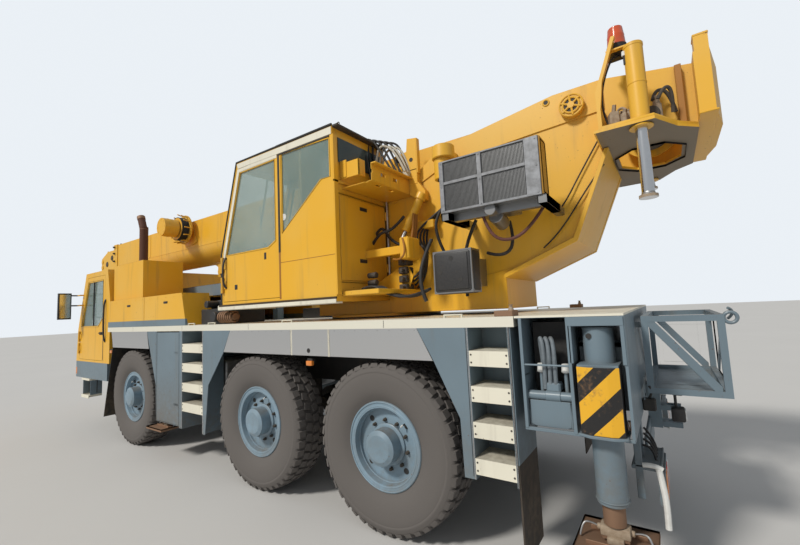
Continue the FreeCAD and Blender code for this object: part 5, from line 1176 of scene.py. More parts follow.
def make_crane_cab_parts():
    pane = Form()
    pane.plate("xz", grown(CRANE_DOOR_WINDOW, 5), (1232, 1237), 0)
    pane.done("crane_door_pane", "crane_cab_door", "cab_glass", "cab_pane")
    seal = Form()
    seal.border("xz", grown(CRANE_DOOR_WINDOW, 13), 22, (1249, 1254), 1)
    seal.done("crane_door_seal", "crane_cab_door", "black_rubber")
    pale = Form()
    pale.border("xz", grown(CRANE_DOOR_WINDOW, 1), 18, (1236, 1251))
    pale.done("crane_door_lining", "crane_cab_door", "pale_seal")
    fixed = Form()
    fixed.border("xz", grown(CRANE_REAR_WINDOW, 12), 20, (1249, 1254), 1)
    fixed.border("xz", grown(CRANE_RIGHT_WINDOW, 12), 20, (451, 456), 1)
    edge = [(2236, 1932), (2237, 2522), (1926, 3546), (1210, 3539)]
    for y in (1247, 458):
        fixed.hose([(x, y, z) for x, z in edge], 13, 2)
    fixed.hose([(1926, 458, 3546), (1926, 1247, 3546)], 13, 2)
    fixed.hose([(1210, 1251, 3539), (420, 1251, 3532)], 13, 2)
    fixed.box((1176, 1204), (1247, 1254), (2420, 3440), 1)
    fixed.plate("xz", [(450, 3424), (1204, 3437), (1204, 3449), (450, 3436)], (1249, 1256), 1)
    fixed.done("crane_cab_seals", "upper", "black_rubber")
    roof = Form()
    roof.plate("xz", [(425, 3440), (1895, 3466), (1916, 3526), (425, 3513)], (1249, 1256), 2)
    roof.plate("xz", [(425, 3522), (1915, 3536), (1922, 3549), (425, 3535)], (470, 1235), 2)
    roof.done("crane_cab_roof_band", "upper", "cream_treads", "cream_paint")
    border = Form()
    border.plate("xz", [(2166, 2470), (2196, 2470), (2196, 2516), (1908, 3462), (1214, 3462), (1214,
            3420), (1874, 3420),
                        (2152, 2506)], (1249, 1253), 1)
    border.done("crane_door_border", "crane_cab_door", "cream_treads", "cream_paint")
    sill = Form()
    sill.box((415, 2292), (1260, 1268), (1872, 1908), 2)
    sill.box((415, 2292), (1180, 1262), (1868, 1884), 2)
    sill.box((2284, 2300), (460, 1262), (1872, 1926), 2)
    sill.done("crane_cab_sill_strip", "upper", "cream_treads", "cream_paint")
    latches = Form()
    for x, z, w, h in ((1410, 2374, 36, 74), (1928, 2090, 52, 56)):
        latches.box((x, x + w), (1247, 1253), (z, z + h), 4)
        latches.box((x + 8, x + w - 8), (1251, 1256), (z + 10, z + h - 14), 3)
    latches.done("crane_door_latches", "crane_cab_door", "black_plastic")
    disc = Form()
    disc.turned([(0, 34), (3, 34), (3, 20), (0, 18)], (1128, 1240, 2776), "y", 32, closed=True)
    disc.rod((1128, 1238, 2776), (1128, 1243, 2776), 19, sides=24)
    disc.done("window_catch", "upper", "white_plastic")
    rear = Form()
    leaf = [(470, 2060), (1200, 2060), (1200, 2890), (470, 2890)]
    rear.border("yz", leaf, 9, (409, 421), 2)
    rear.box((404, 420), (1196, 1252), (1945, 3440), 3)
    rear.plate("yz", [(488, 2078), (1182, 2078), (1182, 2872), (488, 2872)], (411, 421), 3)
    rear.box((404, 420), (452, 1252), (2985, 3010), 3)
    for z in (2180, 2740):
        rear.rod((408, 476, z), (408, 476, z + 90), 12)
    rear.box((404, 420), (455, 470), (1940, 3050), 2)
    rear.done("cabinet_door", "upper", "yellow_paint", "crane_yellow")
    seam = Form()
    seam.border("yz", grown(leaf, 4), 6, (417.5, 420.5))
    for y, z in ((866, 2790), (890, 2270)):
        seam.box((406, 416), (y - 78, y + 30), (z - 16, z + 22), 8, segments=2)
    seam.done("cabinet_seam", "upper", "black_rubber")
    # Thin lines of the shade-darkened yellow: painted shade in the side's crease and along the door's rear
    # edge.
    crease = Form()
    crease.box((424, 1176), (1249, 1251), (2310, 2316), 0.5)
    crease.box((1178, 1202), (1247, 1252), (1945, 2420), 1)
    crease.done("cab_side_crease_shade", "upper", "shade_darkened_yellow")
    # Opaque dark pane on the rear window: painted shade for the cab's inside.
    pane = Form()
    pane.box((408, 418), (500, 1180), (3190, 3430), 4)
    pane.done("cab_rear_glass", "upper", "dark_pane")
    # Dark strip along the roof's rear edge: painted shade under the roof's overhang; with a small loop above
    # it.
    eave = Form()
    eave.box((352, 424), (520, 1246), (3508, 3530), 4)
    eave.hose([(440, 1130, 3530), (425, 1128, 3590), (455, 1118, 3620), (490, 1110, 3590), (478, 1105,
            3530)], 5)
    eave.done("cab_roof_eave", "upper", "cast_steel")
    grips = Form()
    for y, z in ((866, 2790), (890, 2270)):
        grips.box((399, 409), (y - 64, y + 14), (z + 2, z + 14), 4)
    grips.done("cabinet_grips", "upper", "black_plastic")
    rail = Form()
    rail.hose([(2140, 1251, 2120), (2150, 1290, 2140), (2150, 1290, 2440), (2140, 1251, 2470)], 11)
    rail.done("crane_door_rail", "crane_cab_door", "black_plastic")
    inside = Form()
    for y in (560, 1100):
        inside.box((1180, 1640), (y, y + 70), (2250, 2420), 20, segments=2)
        inside.rod((1600, y + 35, 2415), (1585, y + 35, 2545), 12)
        inside.rod((1585, y + 35, 2540), (1580, y + 35, 2580), 24, 20)
    inside.box((2080, 2180), (520, 900), (2430, 2620), 16)
    inside.box((1960, 2180), (500, 1180), (1990, 2080), 10)
    inside.rod((2060, 700, 1965), (2120, 700, 2440), 22)
    inside.done("crane_controls", "upper", "grey_interior")
    wiper = Form()
    run = 290 / 1080
    wiper.hose([(2245, 700, 2540), (2250 - 300 * run, 760, 2840), (2252 - 640 * run, 830, 3160)], 6)
    wiper.box((1985, 2010), (822, 838), (2900, 3480), 3, ("y", -15))
    wiper.done("crane_cab_wiper", "upper", "black_plastic")


# Upper frame: cheek bands, pivot rings, cooler face, hoses, tray and beacon
def make_cheek_parts():
    for hand, side in SIDES.items():
        out = "y" if side > 0 else "-y"
        bands = Form()
        span = mirrored(side, (443, 457))
        bands.plate("xz", [(-1738, 3268), (-1738, 3516), (-1362, 3516), (-282, 3356), (352, 2946), (300,
                2912),
                           (-330, 3180), (-1240, 3240)], span, 2)
        bands.plate("xz", [(-858, 2013), (-1467, 2262), (-1744, 2945), (-1712, 2945), (-1442, 2292),
                (-858, 2052)],
                    mirrored(side, (440, 500)), 2)
        bands.plate("xz", [(-858, 1753), (-858, 2013), (-1220, 2160), (-640, 2052), (400, 1960), (1470, 1960),
                           (1470, 1753)], mirrored(side, (443, 453)), 2)
        bands.ring((-1510, side * 506, 3360), "y", 88, 7, 56)
        bands.ring((-1510, side * 508, 3360), "y", 62, 9, 56)
        for turn in (0.4, 1.45, 2.5, 3.54, 4.6, 5.65):
            end = (-1510 + 82 * math.cos(turn), side * 510, 3360 + 82 * math.sin(turn))
            bands.rod((-1510, side * 510, 3360), end, 10, 8, 8)
        bands.rod((-1510, side * 500, 3360), (-1510, side * 520, 3360), 30, 26, 24)
        bands.ring((-1311, side * 459, 3468), "y", 24, 7, 28)
        bands.bolts(round_places((-1510, side * 504, 3360), 88, 8), out, 7, 8)
        bands.done(f"cheek_bands_{hand}", "upper", "yellow_upper", "crane_yellow")
        shadow = Form()
        shadow.rod((-1311, side * 456, 3468), (-1311, side * 461, 3468), 20, sides=20)
        shadow.rod((-1510, side * 504, 3360), (-1510, side * 507, 3360), 56, 56, 32)
        shadow.done(f"pivot_recess_{hand}", "upper", "black_rubber")


def make_cooler_parts():
    core = Form()
    for n in range(64):
        x = -1244 + 10.3 * n
        core.box((x, x + 4), (999, 1005), (2568, 2970), 0)
    core.done("cooler_slats", "upper", "cooler_core", "cooler_metal")
    edges = Form()
    edges.box((-1352, -1248), (998, 1014), (2548, 2982), 3)
    edges.box((-586, -548), (998, 1014), (2548, 2982), 3)
    edges.box((-916, -880), (998, 1013), (2558, 2976), 2)
    edges.box((-1250, -584), (998, 1012), (2782, 2806), 2)
    edges.box((-1350, -550), (998, 1012), (2548, 2567), 2)
    edges.box((-1350, -550), (998, 1012), (2970, 2982), 2)
    edges.bolts([(x, 1013, z) for x in (-1330, -898, -567) for z in (2570, 2765, 2962)], "y", 7, 4)
    edges.box((-1352, -548), (846, 1000), (2978, 2986), 2)
    edges.box((-560, -548), (846, 1000), (2550, 2980), 2)
    edges.done("cooler_frame", "upper", "dull_metal", "cooler_metal")
    # Rear side of the cooler in a darker copy of the yellow: painted shade.
    side = Form()
    side.box((-1362, -1350), (848, 1002), (2549, 2981), 3)
    side.border("yz", [(862, 2570), (990, 2570), (990, 2960), (862, 2960)], 14, (-1367, -1360), 2)
    side.done("cooler_side", "upper", "shade_darkened_mustard", "cooler_metal")
    arms = Form()
    for x in (-1380, -610):
        arms.border("xz", [(x - 2, 2488), (x + 62, 2488), (x + 62, 2552), (x - 2, 2552)], 9, (600, 1010), 2)
    arms.box((-1100, -800), (640, 850), (2512, 2550), 8)
    arms.rod((-950, 860, 2520), (-950, 980, 2520), 52, 46, 24, 4)
    arms.rod((-950, 700, 2450), (-950, 860, 2490), 60, 60, 24, 6)
    arms.done("cooler_arms", "upper", "cooler_metal", "cooler_metal")
    cover = Form()
    cover.box((-744, -381), (722, 906), (1896, 2264), 34, segments=3)
    cover.box((-708, -417), (900, 914), (1930, 2230), 20, segments=3)
    cover.done("valve_cover_shell", "upper", "black_plastic", "cooler_metal")
    # Black discs on the cover: painted shade in its holes.
    holes = Form()
    for x, z in ((-455, 2080), (-640, 2010), (-560, 2190)):
        holes.rod((x, 910, z), (x, 915.5, z), 22, 20, 24)
    holes.done("valve_cover_holes", "upper", "black_rubber")
    loop = Form()
    loop.hose([(-850, 880, 2520), (-900, 900, 2350), (-1020, 860, 2270), (-1180, 800, 2340), (-1290, 740,
            2520)], 13)
    loop.done("cooler_hose", "upper", "red_brown_hose")
    lines = Form()
    lines.hose([(-500, 500, 1880), (-520, 560, 2050), (-560, 620, 2330), (-700, 660, 2530)], 15)
    lines.hose([(-330, 520, 2250), (-260, 640, 2480), (-330, 620, 2720), (-480, 540, 2860)], 15)
    lines.hose([(-300, 900, 1846), (-262, 930, 1960), (-262, 900, 2180), (-300, 760, 2400)], 17)
    lines.hose([(-760, 600, 2240), (-900, 640, 2180), (-1020, 620, 2280), (-960, 560, 2490)], 14)
    lines.hose([(-1340, 470, 2520), (-1410, 480, 2600), (-1520, 470, 2790), (-1700, 470, 3070)], 6)
    lines.hose([(-1200, 470, 2240), (-1330, 478, 2330), (-1600, 470, 2720), (-1700, 470, 2830)], 6)
    lines.done("upper_hoses", "upper", "black_rubber")


def make_swing_gear():
    """Piping, small cylinder, brackets and tray between the crane cab and the cooler."""
    ram = Form()
    ram.rod((45, 650, 2545), (-95, 560, 2885), 43, 43, 24, 4)
    ram.rod((-80, 570, 2850), (-108, 552, 2915), 56, 50, 20, 5)
    ram.box((-90, 420), (760, 830), (2300, 2380), 6)
    ram.box((-140, -40), (700, 900), (2240, 2440), 10)
    ram.box((0, 420), (460, 1180), (1932, 1975), 6)
    ram.plate("xz", [(420, 1932), (60, 1932), (-20, 2100), (60, 2240), (420, 2060)], (640, 650), 2)
    ram.box((-220, 60), (CHEEK_FACE, 560), (2560, 2640), 6)
    ram.plate("xz", [(62, 2945), (62, 3092), (-20, 3092), (-125, 2950), (-125, 2860), (-60, 2850)],
            (CHEEK_FACE, 520), 3)
    ram.box((-43, 75), (CHEEK_FACE, 524), (3040, 3200), 4)
    ram.plate("xz", [(-43, 3185), (60, 3185), (120, 3250), (232, 3290), (225, 3385), (75, 3400), (60, 3532),
                     (-43, 3515)], (512, 524), 2)
    ram.box((-55, -43), (470, 524), (3150, 3515), 2)
    ram.rod((-415, 650, 3150), (-415, 650, 3272), 108, 104, 40, 6)
    ram.rod((-400, 650, 2960), (-400, 650, 3152), 78, 78, 36, 4)
    ram.box((-470, -350), (CHEEK_FACE, 640), (3170, 3250), 5)
    ram.done("cab_tilt_cylinder", "upper", "yellow_paint", "crane_yellow")
    # Black discs: painted shade in the bracket plate's holes, and a black disc at the filter barrel's foot.
    eyes = Form()
    eyes.rod((170, 520, 3335), (170, 526, 3335), 34, 34, 24)
    eyes.rod((20, 520, 3300), (20, 526, 3300), 22, 22, 24)
    eyes.rod((-400, 650, 2952), (-400, 650, 2962), 52, 52, 24)
    eyes.done("bracket_eyes", "upper", "black_rubber")
    rod = Form()
    rod.rod((45, 650, 2545), (78, 672, 2462), 20)
    rod.rod((396, 462, 2060), (396, 462, 2945), 16)
    rod.done("cab_tilt_rod", "upper", "silver_metal")
    gauge = Form()
    gauge.box((-66, -46), (812, 880), (2342, 2430), 10, segments=2)
    gauge.done("level_glass", "upper", "clear_lens")
    valves = Form()
    for n in range(4):
        z = 1960 + 84 * n
        valves.box((30, 120), (560, 700), (z, z + 66), 8)
        valves.rod((60, 700, z + 33), (60, 740, z + 33), 20, 17, 6)
    for n in range(3):
        valves.rod((230, 900, 1980 + 70 * n), (330, 900, 1980 + 70 * n), 30, 26, 16, 4)
    valves.done("slew_valves", "upper", "cast_steel", "cast_parts")
    hoses = Form()
    for n in range(4):
        y = 500 + 42 * n
        hoses.hose([(30, y, 1990 + 30 * n), (-70, y + 20, 2060 + 10 * n), (-110 - 30 * n, y, 2300),
                (-90 + 30 * n, y - 10, 2500),
                    (-150 - 40 * n, 500, 2640 + 30 * n), (-260 - 40 * n, 460, 2720 + 30 * n)], 11)
    for n in range(4):
        y = 880 + 40 * n
        hoses.hose([(330, y, 1990), (190, y + 20, 2030), (60, y, 1930), (-160, y - 60, 1880), (-280, 780,
                1960)], 12)
    hoses.hose([(420, 640, 2560), (330, 660, 2660), (240, 640, 2480), (130, 620, 2420)], 15)
    hoses.hose([(420, 700, 2460), (300, 740, 2560), (170, 700, 2560), (60, 640, 2700)], 15)
    hoses.done("slew_hoses", "upper", "black_rubber")
    # Pipes in the shade-darkened yellow: painted shade.
    tan = Form()
    for n in range(3):
        tan.hose([(60, 560 + 50 * n, 2240), (-30, 640 + 40 * n, 2360), (-90, 660 + 30 * n, 2520),
                  (-60, 600 + 30 * n, 2700)], 11)
    tan.hose([(-80, 900, 2430), (-130, 920, 2300), (-60, 940, 2220), (30, 900, 2250)], 9)
    tan.done("slew_pipes", "upper", "shade_darkened_yellow")
    tray = Form()
    slots = [(738, 808), (933, 1003), (1127, 1136)]
    for low, high in ((2945, 3012), (3046, 3100)):
        tray.box((56, 62), (455, 1140), (low, high), 1)
    for low, high in ((60, 104), (140, 418)):
        tray.box((low, high), (455, 1140), (2940, 2946), 1)
    edge = 455
    for low, high in slots:
        tray.box((56, 62), (edge, low), (3011, 3047), 0)
        tray.box((103, 141), (edge, low), (2940, 2946), 0)
        edge = high
    tray.box((6, 62), (455, 1140), (3094, 3106), 2)
    tray.box((62, 416), (CHEEK_FACE, 457), (2942, 3096), 2)
    tray.done("slotted_tray", "upper", "yellow_paint", "crane_yellow")
    loops = Form()
    for n in range(5):
        y = 500 + 46 * n
        loops.hose([(60 + 20 * n, y, 3150), (120 + 30 * n, y, 3330), (170 + 50 * n, y + 20,
                3520 + 12 * n), (330 + 40 * n, y + 60, 3560),
                    (380, y + 90, 3300), (330, y + 110, 3060)], 11)
    loops.done("bracket_hoses", "upper", "black_rubber")
    pale = Form()
    for n in range(3):
        y = 516 + 50 * n
        pale.hose([(40, y, 3160), (90 + 20 * n, y + 10, 3380), (200 + 40 * n, y + 30, 3500), (330, y + 80,
                3400), (360, y + 90, 3080)], 12)
    pale.box((40, 200), (470, 560), (3100, 3190), 8)
    pale.done("bracket_pipes", "upper", "pale_seal")
    cap = Form()
    cap.box((190, 418), (1138, 1150), (3025, 3178), 3)
    cap.box((340, 418), (1142, 1158), (3035, 3200), 3)
    cap.box((190, 204), (1060, 1150), (3025, 3178), 3)
    cap.done("tray_end_box", "upper", "yellow_paint", "crane_yellow")


def make_tail_parts():
    wire = Form()
    wire.hose([(-1880, 640, 3556), (-1850, 690, 3540), (-1800, 712, 3440), (-1752, 712, 3290), (-1748,
            700, 3100),
               (-1790, 680, 3000)], 7)
    wire.rod((-1870, 640, 3532), (-1870, 640, 3551), 24)
    wire.ring((-1870, 640, 3566), "z", 64, 5, 40)
    wire.done("beacon_wire", "upper", "black_rubber")
    lamp = Form()
    lamp.turned([(0, 63), (8, 63), (8, 60.5), (70, 55.5), (76, 56.5), (82, 54.5), (137, 48)], (-1870, 640,
            3621), "z", 40)
    lamp.done("beacon_shell", "upper", "beacon_lens")
    for hand, side in SIDES.items():
        bands = Form()
        for low, high, radius in ((2966, 3000, 66), (3238, 3250, 61), (3506, 3529, 61)):
            bands.rod((-1970, side * 750, low), (-1970, side * 750, high), radius, radius, 40, 3)
        bands.rod((-1970, side * 750, 2934), (-1970, side * 750, 2951), 74, 66, 40, 3)
        bands.plate("xy", [(-1742, side * 823), (-2048, side * 823), (-2174, side * 579), (-2298, side * 449),
                           (-2298, side * 424), (-2158, side * 566), (-2036, side * 804), (-1742,
                           side * 804)],
                    (2966, 2990), 2)
        for x in (-1760, -1800):
            bands.box((x, x + 12), mirrored(side, (CHEEK_FACE, 760)), (2966, 2990), 2)
        bands.done(f"ballast_cylinder_bands_{hand}", "upper", "yellow_paint", "crane_yellow")
        top = Form()
        top.rod((-1970, side * 750, 3527), (-1970, side * 750, 3532), 52, 50, 32)
        top.done(f"ballast_cylinder_cap_{hand}", "upper", "black_rubber")
        fittings = Form()
        fittings.rod((-1912, side * 772, 3462), (-1912, side * 772, 3496), 13, 12, 12, 2)
        fittings.done(f"ballast_switch_{hand}", "upper", "white_plastic")
        plug = Form()
        plug.rod((-1916, side * 772, 3400), (-1916, side * 772, 3462), 9)
        plug.done(f"ballast_plug_{hand}", "upper", "black_rubber")
        low = 2450 if side > 0 else 2850
        foot = Form()
        foot.rod((-1970, side * 750, low + 20), (-1970, side * 750, low + 32), 46, 40, 32, 2)
        foot.rod((-1970, side * 750, low + 32), (-1970, side * 750, low + 40), 40, 39, 32)
        foot.done(f"ballast_foot_{hand}", f"ballast_rod_{hand}", "silver_metal")
        sole = Form()
        sole.rod((-1970, side * 750, low + 0.5), (-1970, side * 750, low + 19.5), 56.6, 56.6, 40)
        sole.done(f"ballast_sole_{hand}", f"ballast_rod_{hand}", "pale_cast")
    cluster = Form()
    for n, (x, y, z) in enumerate(((-1800, 640, 2985), (-1810, 700, 3030), (-1850, 610, 3010), (-1870,
            680, 2985))):
        cluster.box((x - 34, x + 30), (y - 34, y + 34), (z - 14, z + 70 + 12 * n), 8, ("z", 20 * n))
        cluster.rod((x, y, z + 60), (x - 14, y + 24, z + 130), 16, 13, 6)
    cluster.rod((-2070, 600, 2976), (-2070, 600, 3130), 34, 30, 16, 4)
    cluster.rod((-2070, 600, 3130), (-2070, 600, 3190), 24, 20, 12, 4)
    cluster.hose([(-1800, 640, 3080), (-1840, 660, 3160), (-1900, 690, 3120), (-1930, 700, 3010)], 9)
    cluster.hose([(-1850, 610, 3080), (-1890, 600, 3170), (-1990, 590, 3100), (-2040, 620, 2990)], 9)
    cluster.done("tail_valves", "upper", "pale_cast", "cast_parts")
    motor = Form()
    motor.rod((-2030, 470, 3060), (-2030, 640, 3060), 62, 58, 24, 6)
    motor.rod((-2030, 560, 3060), (-2030, 560, 2975), 40, 46, 16, 4)
    motor.hose([(-2080, 640, 3150), (-2120, 650, 3230), (-2170, 610, 3200), (-2160, 560, 3060)], 12)
    motor.hose([(-2050, 620, 3160), (-2070, 560, 3260), (-2150, 520, 3240), (-2180, 500, 3080)], 12)
    motor.done("tail_motor", "upper", "cast_steel", "cast_parts")
    # Posts in the shade-darkened yellow: painted shade.
    posts = Form()
    for side in SIDES.values():
        posts.box((-2236, -2196), mirrored(side, (CHEEK_FACE, 500)), (2966, 3420), 3)
        posts.plate("xy", [(-2286, side * 452), (-2180, side * 562), (-2110, side * 640), (-2110,
                side * 452)],
                    (2966, 2984), 2)
    posts.done("tail_posts", "upper", "shade_darkened_yellow")
    caps = Form()
    for side in SIDES.values():
        caps.box((-2394, -2306), mirrored(side, (476, 583)), (3532, 3549), 4)
        caps.box((-2392, -2306), mirrored(side, (500, 560)), (3420, 3440), 4)
    caps.box((-2404, -2298), (-583, 583), (2992, 3006), 4)
    caps.done("tail_caps", "upper", "yellow_paint", "crane_yellow")
    opening = Form()
    opening.border("xy", [(-1752, 158), (-1886, 318), (-2100, 318), (-2236, 158), (-2236, -158), (-2100,
            -318),
                          (-1886, -318), (-1752, -158)], 22, (2934, 2951), 2)
    opening.done("tail_opening_rim", "upper", "black_rubber")


# Outriggers: rear compartment, guards, feet and front covers
def make_guards():
    for name, (station, side) in BEAMS.items():
        body = f"beam_{name}"
        if name.startswith("rear"):
            guard = Form()
            face = [(-110, 1313), (-50, 1334), (50, 1334), (110, 1313), (110, 1309), (50, 1329), (-50,
                    1329), (-110, 1309)]
            guard.plate("xy", [(station + x, side * y) for x, y in face], (1032, 1408), 0.8)
            guard.done(f"hazard_guard_{name}", body, "hazard_paint")
            dark = Form()
            dark.box((station - 112, station - 106), mirrored(side, (1180, 1312)), (1034, 1408), 1)
            dark.box((station + 106, station + 112), mirrored(side, (1180, 1312)), (1034, 1408), 1)
            dark.done(f"guard_sides_{name}", body, "black_plastic")
            lip = Form()
            lip.plate("xy", [(station - 125, side * 1150), (station + 125, side * 1150), (station + 125,
                    side * 1316),
                             (station + 60, side * 1345), (station - 60, side * 1345), (station - 125,
                             side * 1316)],
                      (1014, 1030), 3)
            lip.ring((station, side * JACK_PLACE, 1000), "z", 92, 9, 40)
            lip.ring((station, side * JACK_PLACE, 640), "z", 86, 5, 40)
            lip.ring((station, side * JACK_PLACE, 1622), "z", 84, 5, 40)
            lip.done(f"guard_lip_{name}", body, "grey_blue_paint", "carrier_grey_blue")
            # Black disc on the beam: painted shade in the jack's hole.
            eye = Form()
            eye.rod((station + 40, side * 1241, 1580), (station + 40, side * 1256, 1580), 16, 16, 20)
            eye.done(f"jack_hole_{name}", body, "black_rubber")
        else:
            seams = Form()
            seams.border("xz", [(3175, 474), (3755, 474), (3755, 1615), (3175, 1615)], 5, mirrored(side,
                    (1274, 1275)))
            seams.done(f"cover_seam_{name}", body, "black_rubber")
            hinge = Form()
            for z in (700, 1350):
                hinge.box((3190, 3300), mirrored(side, (1273, 1275)), (z, z + 30), 1)
            hinge.done(f"cover_hinges_{name}", body, "grey_blue_paint")


def make_feet():
    for name, (station, side) in BEAMS.items():
        body = f"foot_{name}"
        y = side * JACK_PLACE
        rod = Form()
        rod.rod((station, y, 505), (station, y, 622), 44, 63, 32, 2)
        rod.ring((station, y, 612), "z", 60, 6, 36)
        rod.done(f"jack_neck_{name}", body, "grey_blue_paint", "carrier_grey_blue")
        yoke = Form()
        yoke.box((station - 78, station + 78), (y - 42, y + 42), (436, 494), 9, segments=2)
        yoke.box((station - 44, station + 44), (y - 60, y + 60), (402, 440), 9, segments=2)
        yoke.rod((station - 96, y, 465), (station + 96, y, 465), 17, ease=3)
        yoke.done(f"foot_yoke_{name}", body, "pale_cast", "cast_parts")
        wires = Form()
        for turn in (1, -1):
            wires.hose([(station + turn * 92, y, 465), (station + turn * 140, y + 8, 486),
                    (station + turn * 176, y + 26, 470),
                        (station + turn * 186, y + 44, 410)], 6)
        wires.done(f"foot_wires_{name}", body, "silver_metal")
        pad = Form()
        pad.border("xy", [(station - 204, y - 204), (station + 204, y - 204), (station + 204, y + 204),
                (station - 204, y + 204)],
                   12, (399, 414), 2)
        for turn in (1, -1):
            pad.box((station - 150, station + 150), (y + turn * 90 - 5, y + turn * 90 + 5), (399, 420), 2)
        pad.done(f"pad_rim_{name}", body, "rusty_steel", "rusty_steel")


def make_rear_compartment():
    for hand, side in SIDES.items():
        station = BEAMS[f"rear_{hand}"][0]
        frame_parts = Form()
        for x in (station - 150, station + 128):
            frame_parts.box((x, x + 20), mirrored(side, (1150, 1282)), (1420, 1694), 2)
        frame_parts.box((station - 150, station + 148), mirrored(side, (1262, 1284)), (1640, 1694), 3)
        for low, high in ((-1798, station - 104), (station + 104, -1202)):
            frame_parts.box((low, high), mirrored(side, (1258, 1278)), (998, 1018), 2)
        if side > 0:
            frame_parts.box((-1508, -1488), (1000, 1282), (1010, 1694), 2)
            frame_parts.box((-1222, -1203), (1100, 1282), (1010, 1694), 2)
        frame_parts.done(f"bay_frame_{hand}", "chassis", "grey_blue_boxes", "carrier_grey_blue")
    hoses = Form()
    for n in range(3):
        x = -1385 + 32 * n
        hoses.hose([(x + 14, 1150, 1230), (x + 10, 1165, 1400), (x + 14, 1190, 1530), (x + 4, 1225, 1575),
                    (x - 14, 1240, 1530), (x - 14, 1235, 1400), (x - 8, 1225, 1250)], 13)
    hoses.done("bay_hoses", "chassis", "grey_hose")
    caps = Form()
    for x in (-1305, -1452):
        caps.rod((x, 1200, 1350), (x, 1200, 1404), 26, 22, 20, 3)
    caps.done("accumulator_caps", "chassis", "white_plastic")
    gear = Form()
    for x in (-1305, -1452):
        gear.rod((x, 1200, 1200), (x, 1200, 1355), 12)
    gear.rod((-1215, 1225, 1208), (-1490, 1225, 1208), 28, 28, 24)
    gear.rod((-1330, 1225, 1208), (-1420, 1225, 1208), 34, 34, 24, 3)
    gear.box((-1420, -1335), (1150, 1240), (1232, 1290), 10)
    gear.plate("xz", [(-1225, 1180), (-1480, 1180), (-1470, 1030), (-1440, 1020), (-1262, 1020), (-1232,
            1030)],
               (1236, 1246), 2)
    gear.box((-1470, -1232), (1120, 1240), (1020, 1030), 2)
    gear.box((-1480, -1470), (1120, 1246), (1020, 1180), 2)
    gear.box((-1235, -1225), (1120, 1246), (1020, 1180), 2)
    gear.box((-1222, -1210), (1180, 1275), (1330, 1342), 2)
    gear.hose([(-1212, 1272, 1402), (-1490, 1272, 1402)], 6, 2)
    gear.done("bay_gear", "chassis", "grey_blue_paint", "carrier_grey_blue")
    dark = Form()
    dark.box((-1480, -1240), (1080, 1100), (1030, 1660), 2)
    dark.box((-1410, -1290), (1231, 1237), (1150, 1178), 5)
    dark.done("bay_shade", "chassis", "black_rubber")


# Rear end: lamps, shelf, strap, wiring, tow eye and basket bars
def make_rear_end():
    basket = Form()
    basket.hose([(-2322, 540, 1700), (-2344, 520, 1690), (-2344, 500, 1650), (-2322, 480, 1630)], 9)
    basket.ring((-2330, 545, 1640), "y", 34, 11, 32)
    for x, side in ((-2304, 1), (-1844, 1)):
        basket.border("yz", [(-300, 1180), (300, 1180), (300, 1610), (-300, 1610)], 44, (x, x + 10), 2)
        basket.plate("yz", [(300, 1570), (300, 1610), (250, 1610), (-300, 1220), (-300, 1180), (-250,
                1180)], (x, x + 10), 2)
    for y in (548, -558):
        basket.border("xz", [(-2200, 1200), (-1930, 1200), (-1930, 1600), (-2200, 1600)], 44, (y, y + 10), 2)
        basket.plate("xz", [(-1870, 1640), (-1905, 1640), (-2250, 1200), (-2250, 1160), (-2215, 1160),
                (-1870, 1600)],
                     (y, y + 10), 2)
    basket.done("basket_bars", "chassis", "grey_blue_paint", "carrier_grey_blue")
    for hand, side in SIDES.items():
        lamps = Form()
        lamps.box((-1916, -1904), mirrored(side, (742, 870)), (600, 752), 6, segments=2)
        lamps.done(f"tail_lamp_red_{hand}", "chassis", "red_lens")
        turn = Form()
        turn.box((-1916, -1904), mirrored(side, (874, 968)), (600, 752), 6, segments=2)
        turn.done(f"tail_lamp_orange_{hand}", "chassis", "orange_lens")
        clear = Form()
        clear.box((-1916, -1904), mirrored(side, (670, 738)), (600, 752), 6, segments=2)
        clear.done(f"tail_lamp_clear_{hand}", "chassis", "clear_lens")
        strap = Form()
        y = side * 1020
        strap.hose([(-1880, y, 790), (-1890, y + side * 16, 740), (-1905, y + side * 20, 600), (-1900,
                y + side * 10, 470)], 17)
        strap.hose([(-1800, y, 802), (-1860, y, 812), (-1900, y, 790)], 14)
        strap.done(f"lamp_strap_{hand}", "chassis", "white_plastic")
        wires = Form()
        for n in range(4):
            y = side * (690 + 60 * n)
            wires.hose([(-1800, y, 930 - 20 * n), (-1850, y + side * 10, 880), (-1876, y + side * 30, 740),
                        (-1868, y + side * 50, 600 - 14 * n), (-1880, y + side * 70, 620)], 7)
        wires.box((-1880, -1800), mirrored(side, (500, 570)), (1010, 1090), 8)
        wires.hose([(-1840, side * 535, 1090), (-1870, side * 540, 1130), (-1850, side * 560, 1180)], 8)
        wires.done(f"rear_wiring_{hand}", "chassis", "black_rubber")
        work = Form()
        work.box((-2040, -1960), mirrored(side, (380, 480)), (930, 1020), 12, segments=2)
        work.rod((-1990, side * 430, 1020), (-1990, side * 430, 1131), 9)
        work.done(f"work_lamp_{hand}", "chassis", "black_plastic")
        glass = Form()
        glass.box((-2046, -2038), mirrored(side, (390, 470)), (940, 1010), 6)
        glass.done(f"work_lamp_glass_{hand}", "chassis", "clear_lens")
        shelf = Form()
        shelf.box((-1890, -1745), mirrored(side, (640, 1012)), (784, 796), 2)
        shelf.box((-1900, -1888), mirrored(side, (640, 1012)), (768, 800), 2)
        shelf.box((-1800, -1760), mirrored(side, (1000, 1012)), (600, 1000), 3)
        shelf.done(f"lamp_shelf_{hand}", "chassis", "grey_blue_paint", "carrier_grey_blue")
    plate = Form()
    plate.box((-1812, -1800), (-260, 260), (620, 760), 4)
    plate.box((-1812, -1795), (-640, 640), (780, 850), 4)
    plate.bolts([(-1812, y, z) for y in (-560, -420, 420, 560) for z in (1050, 1090)], "-x", 11, 8)
    plate.done("rear_plate", "chassis", "grey_blue_paint", "carrier_grey_blue")
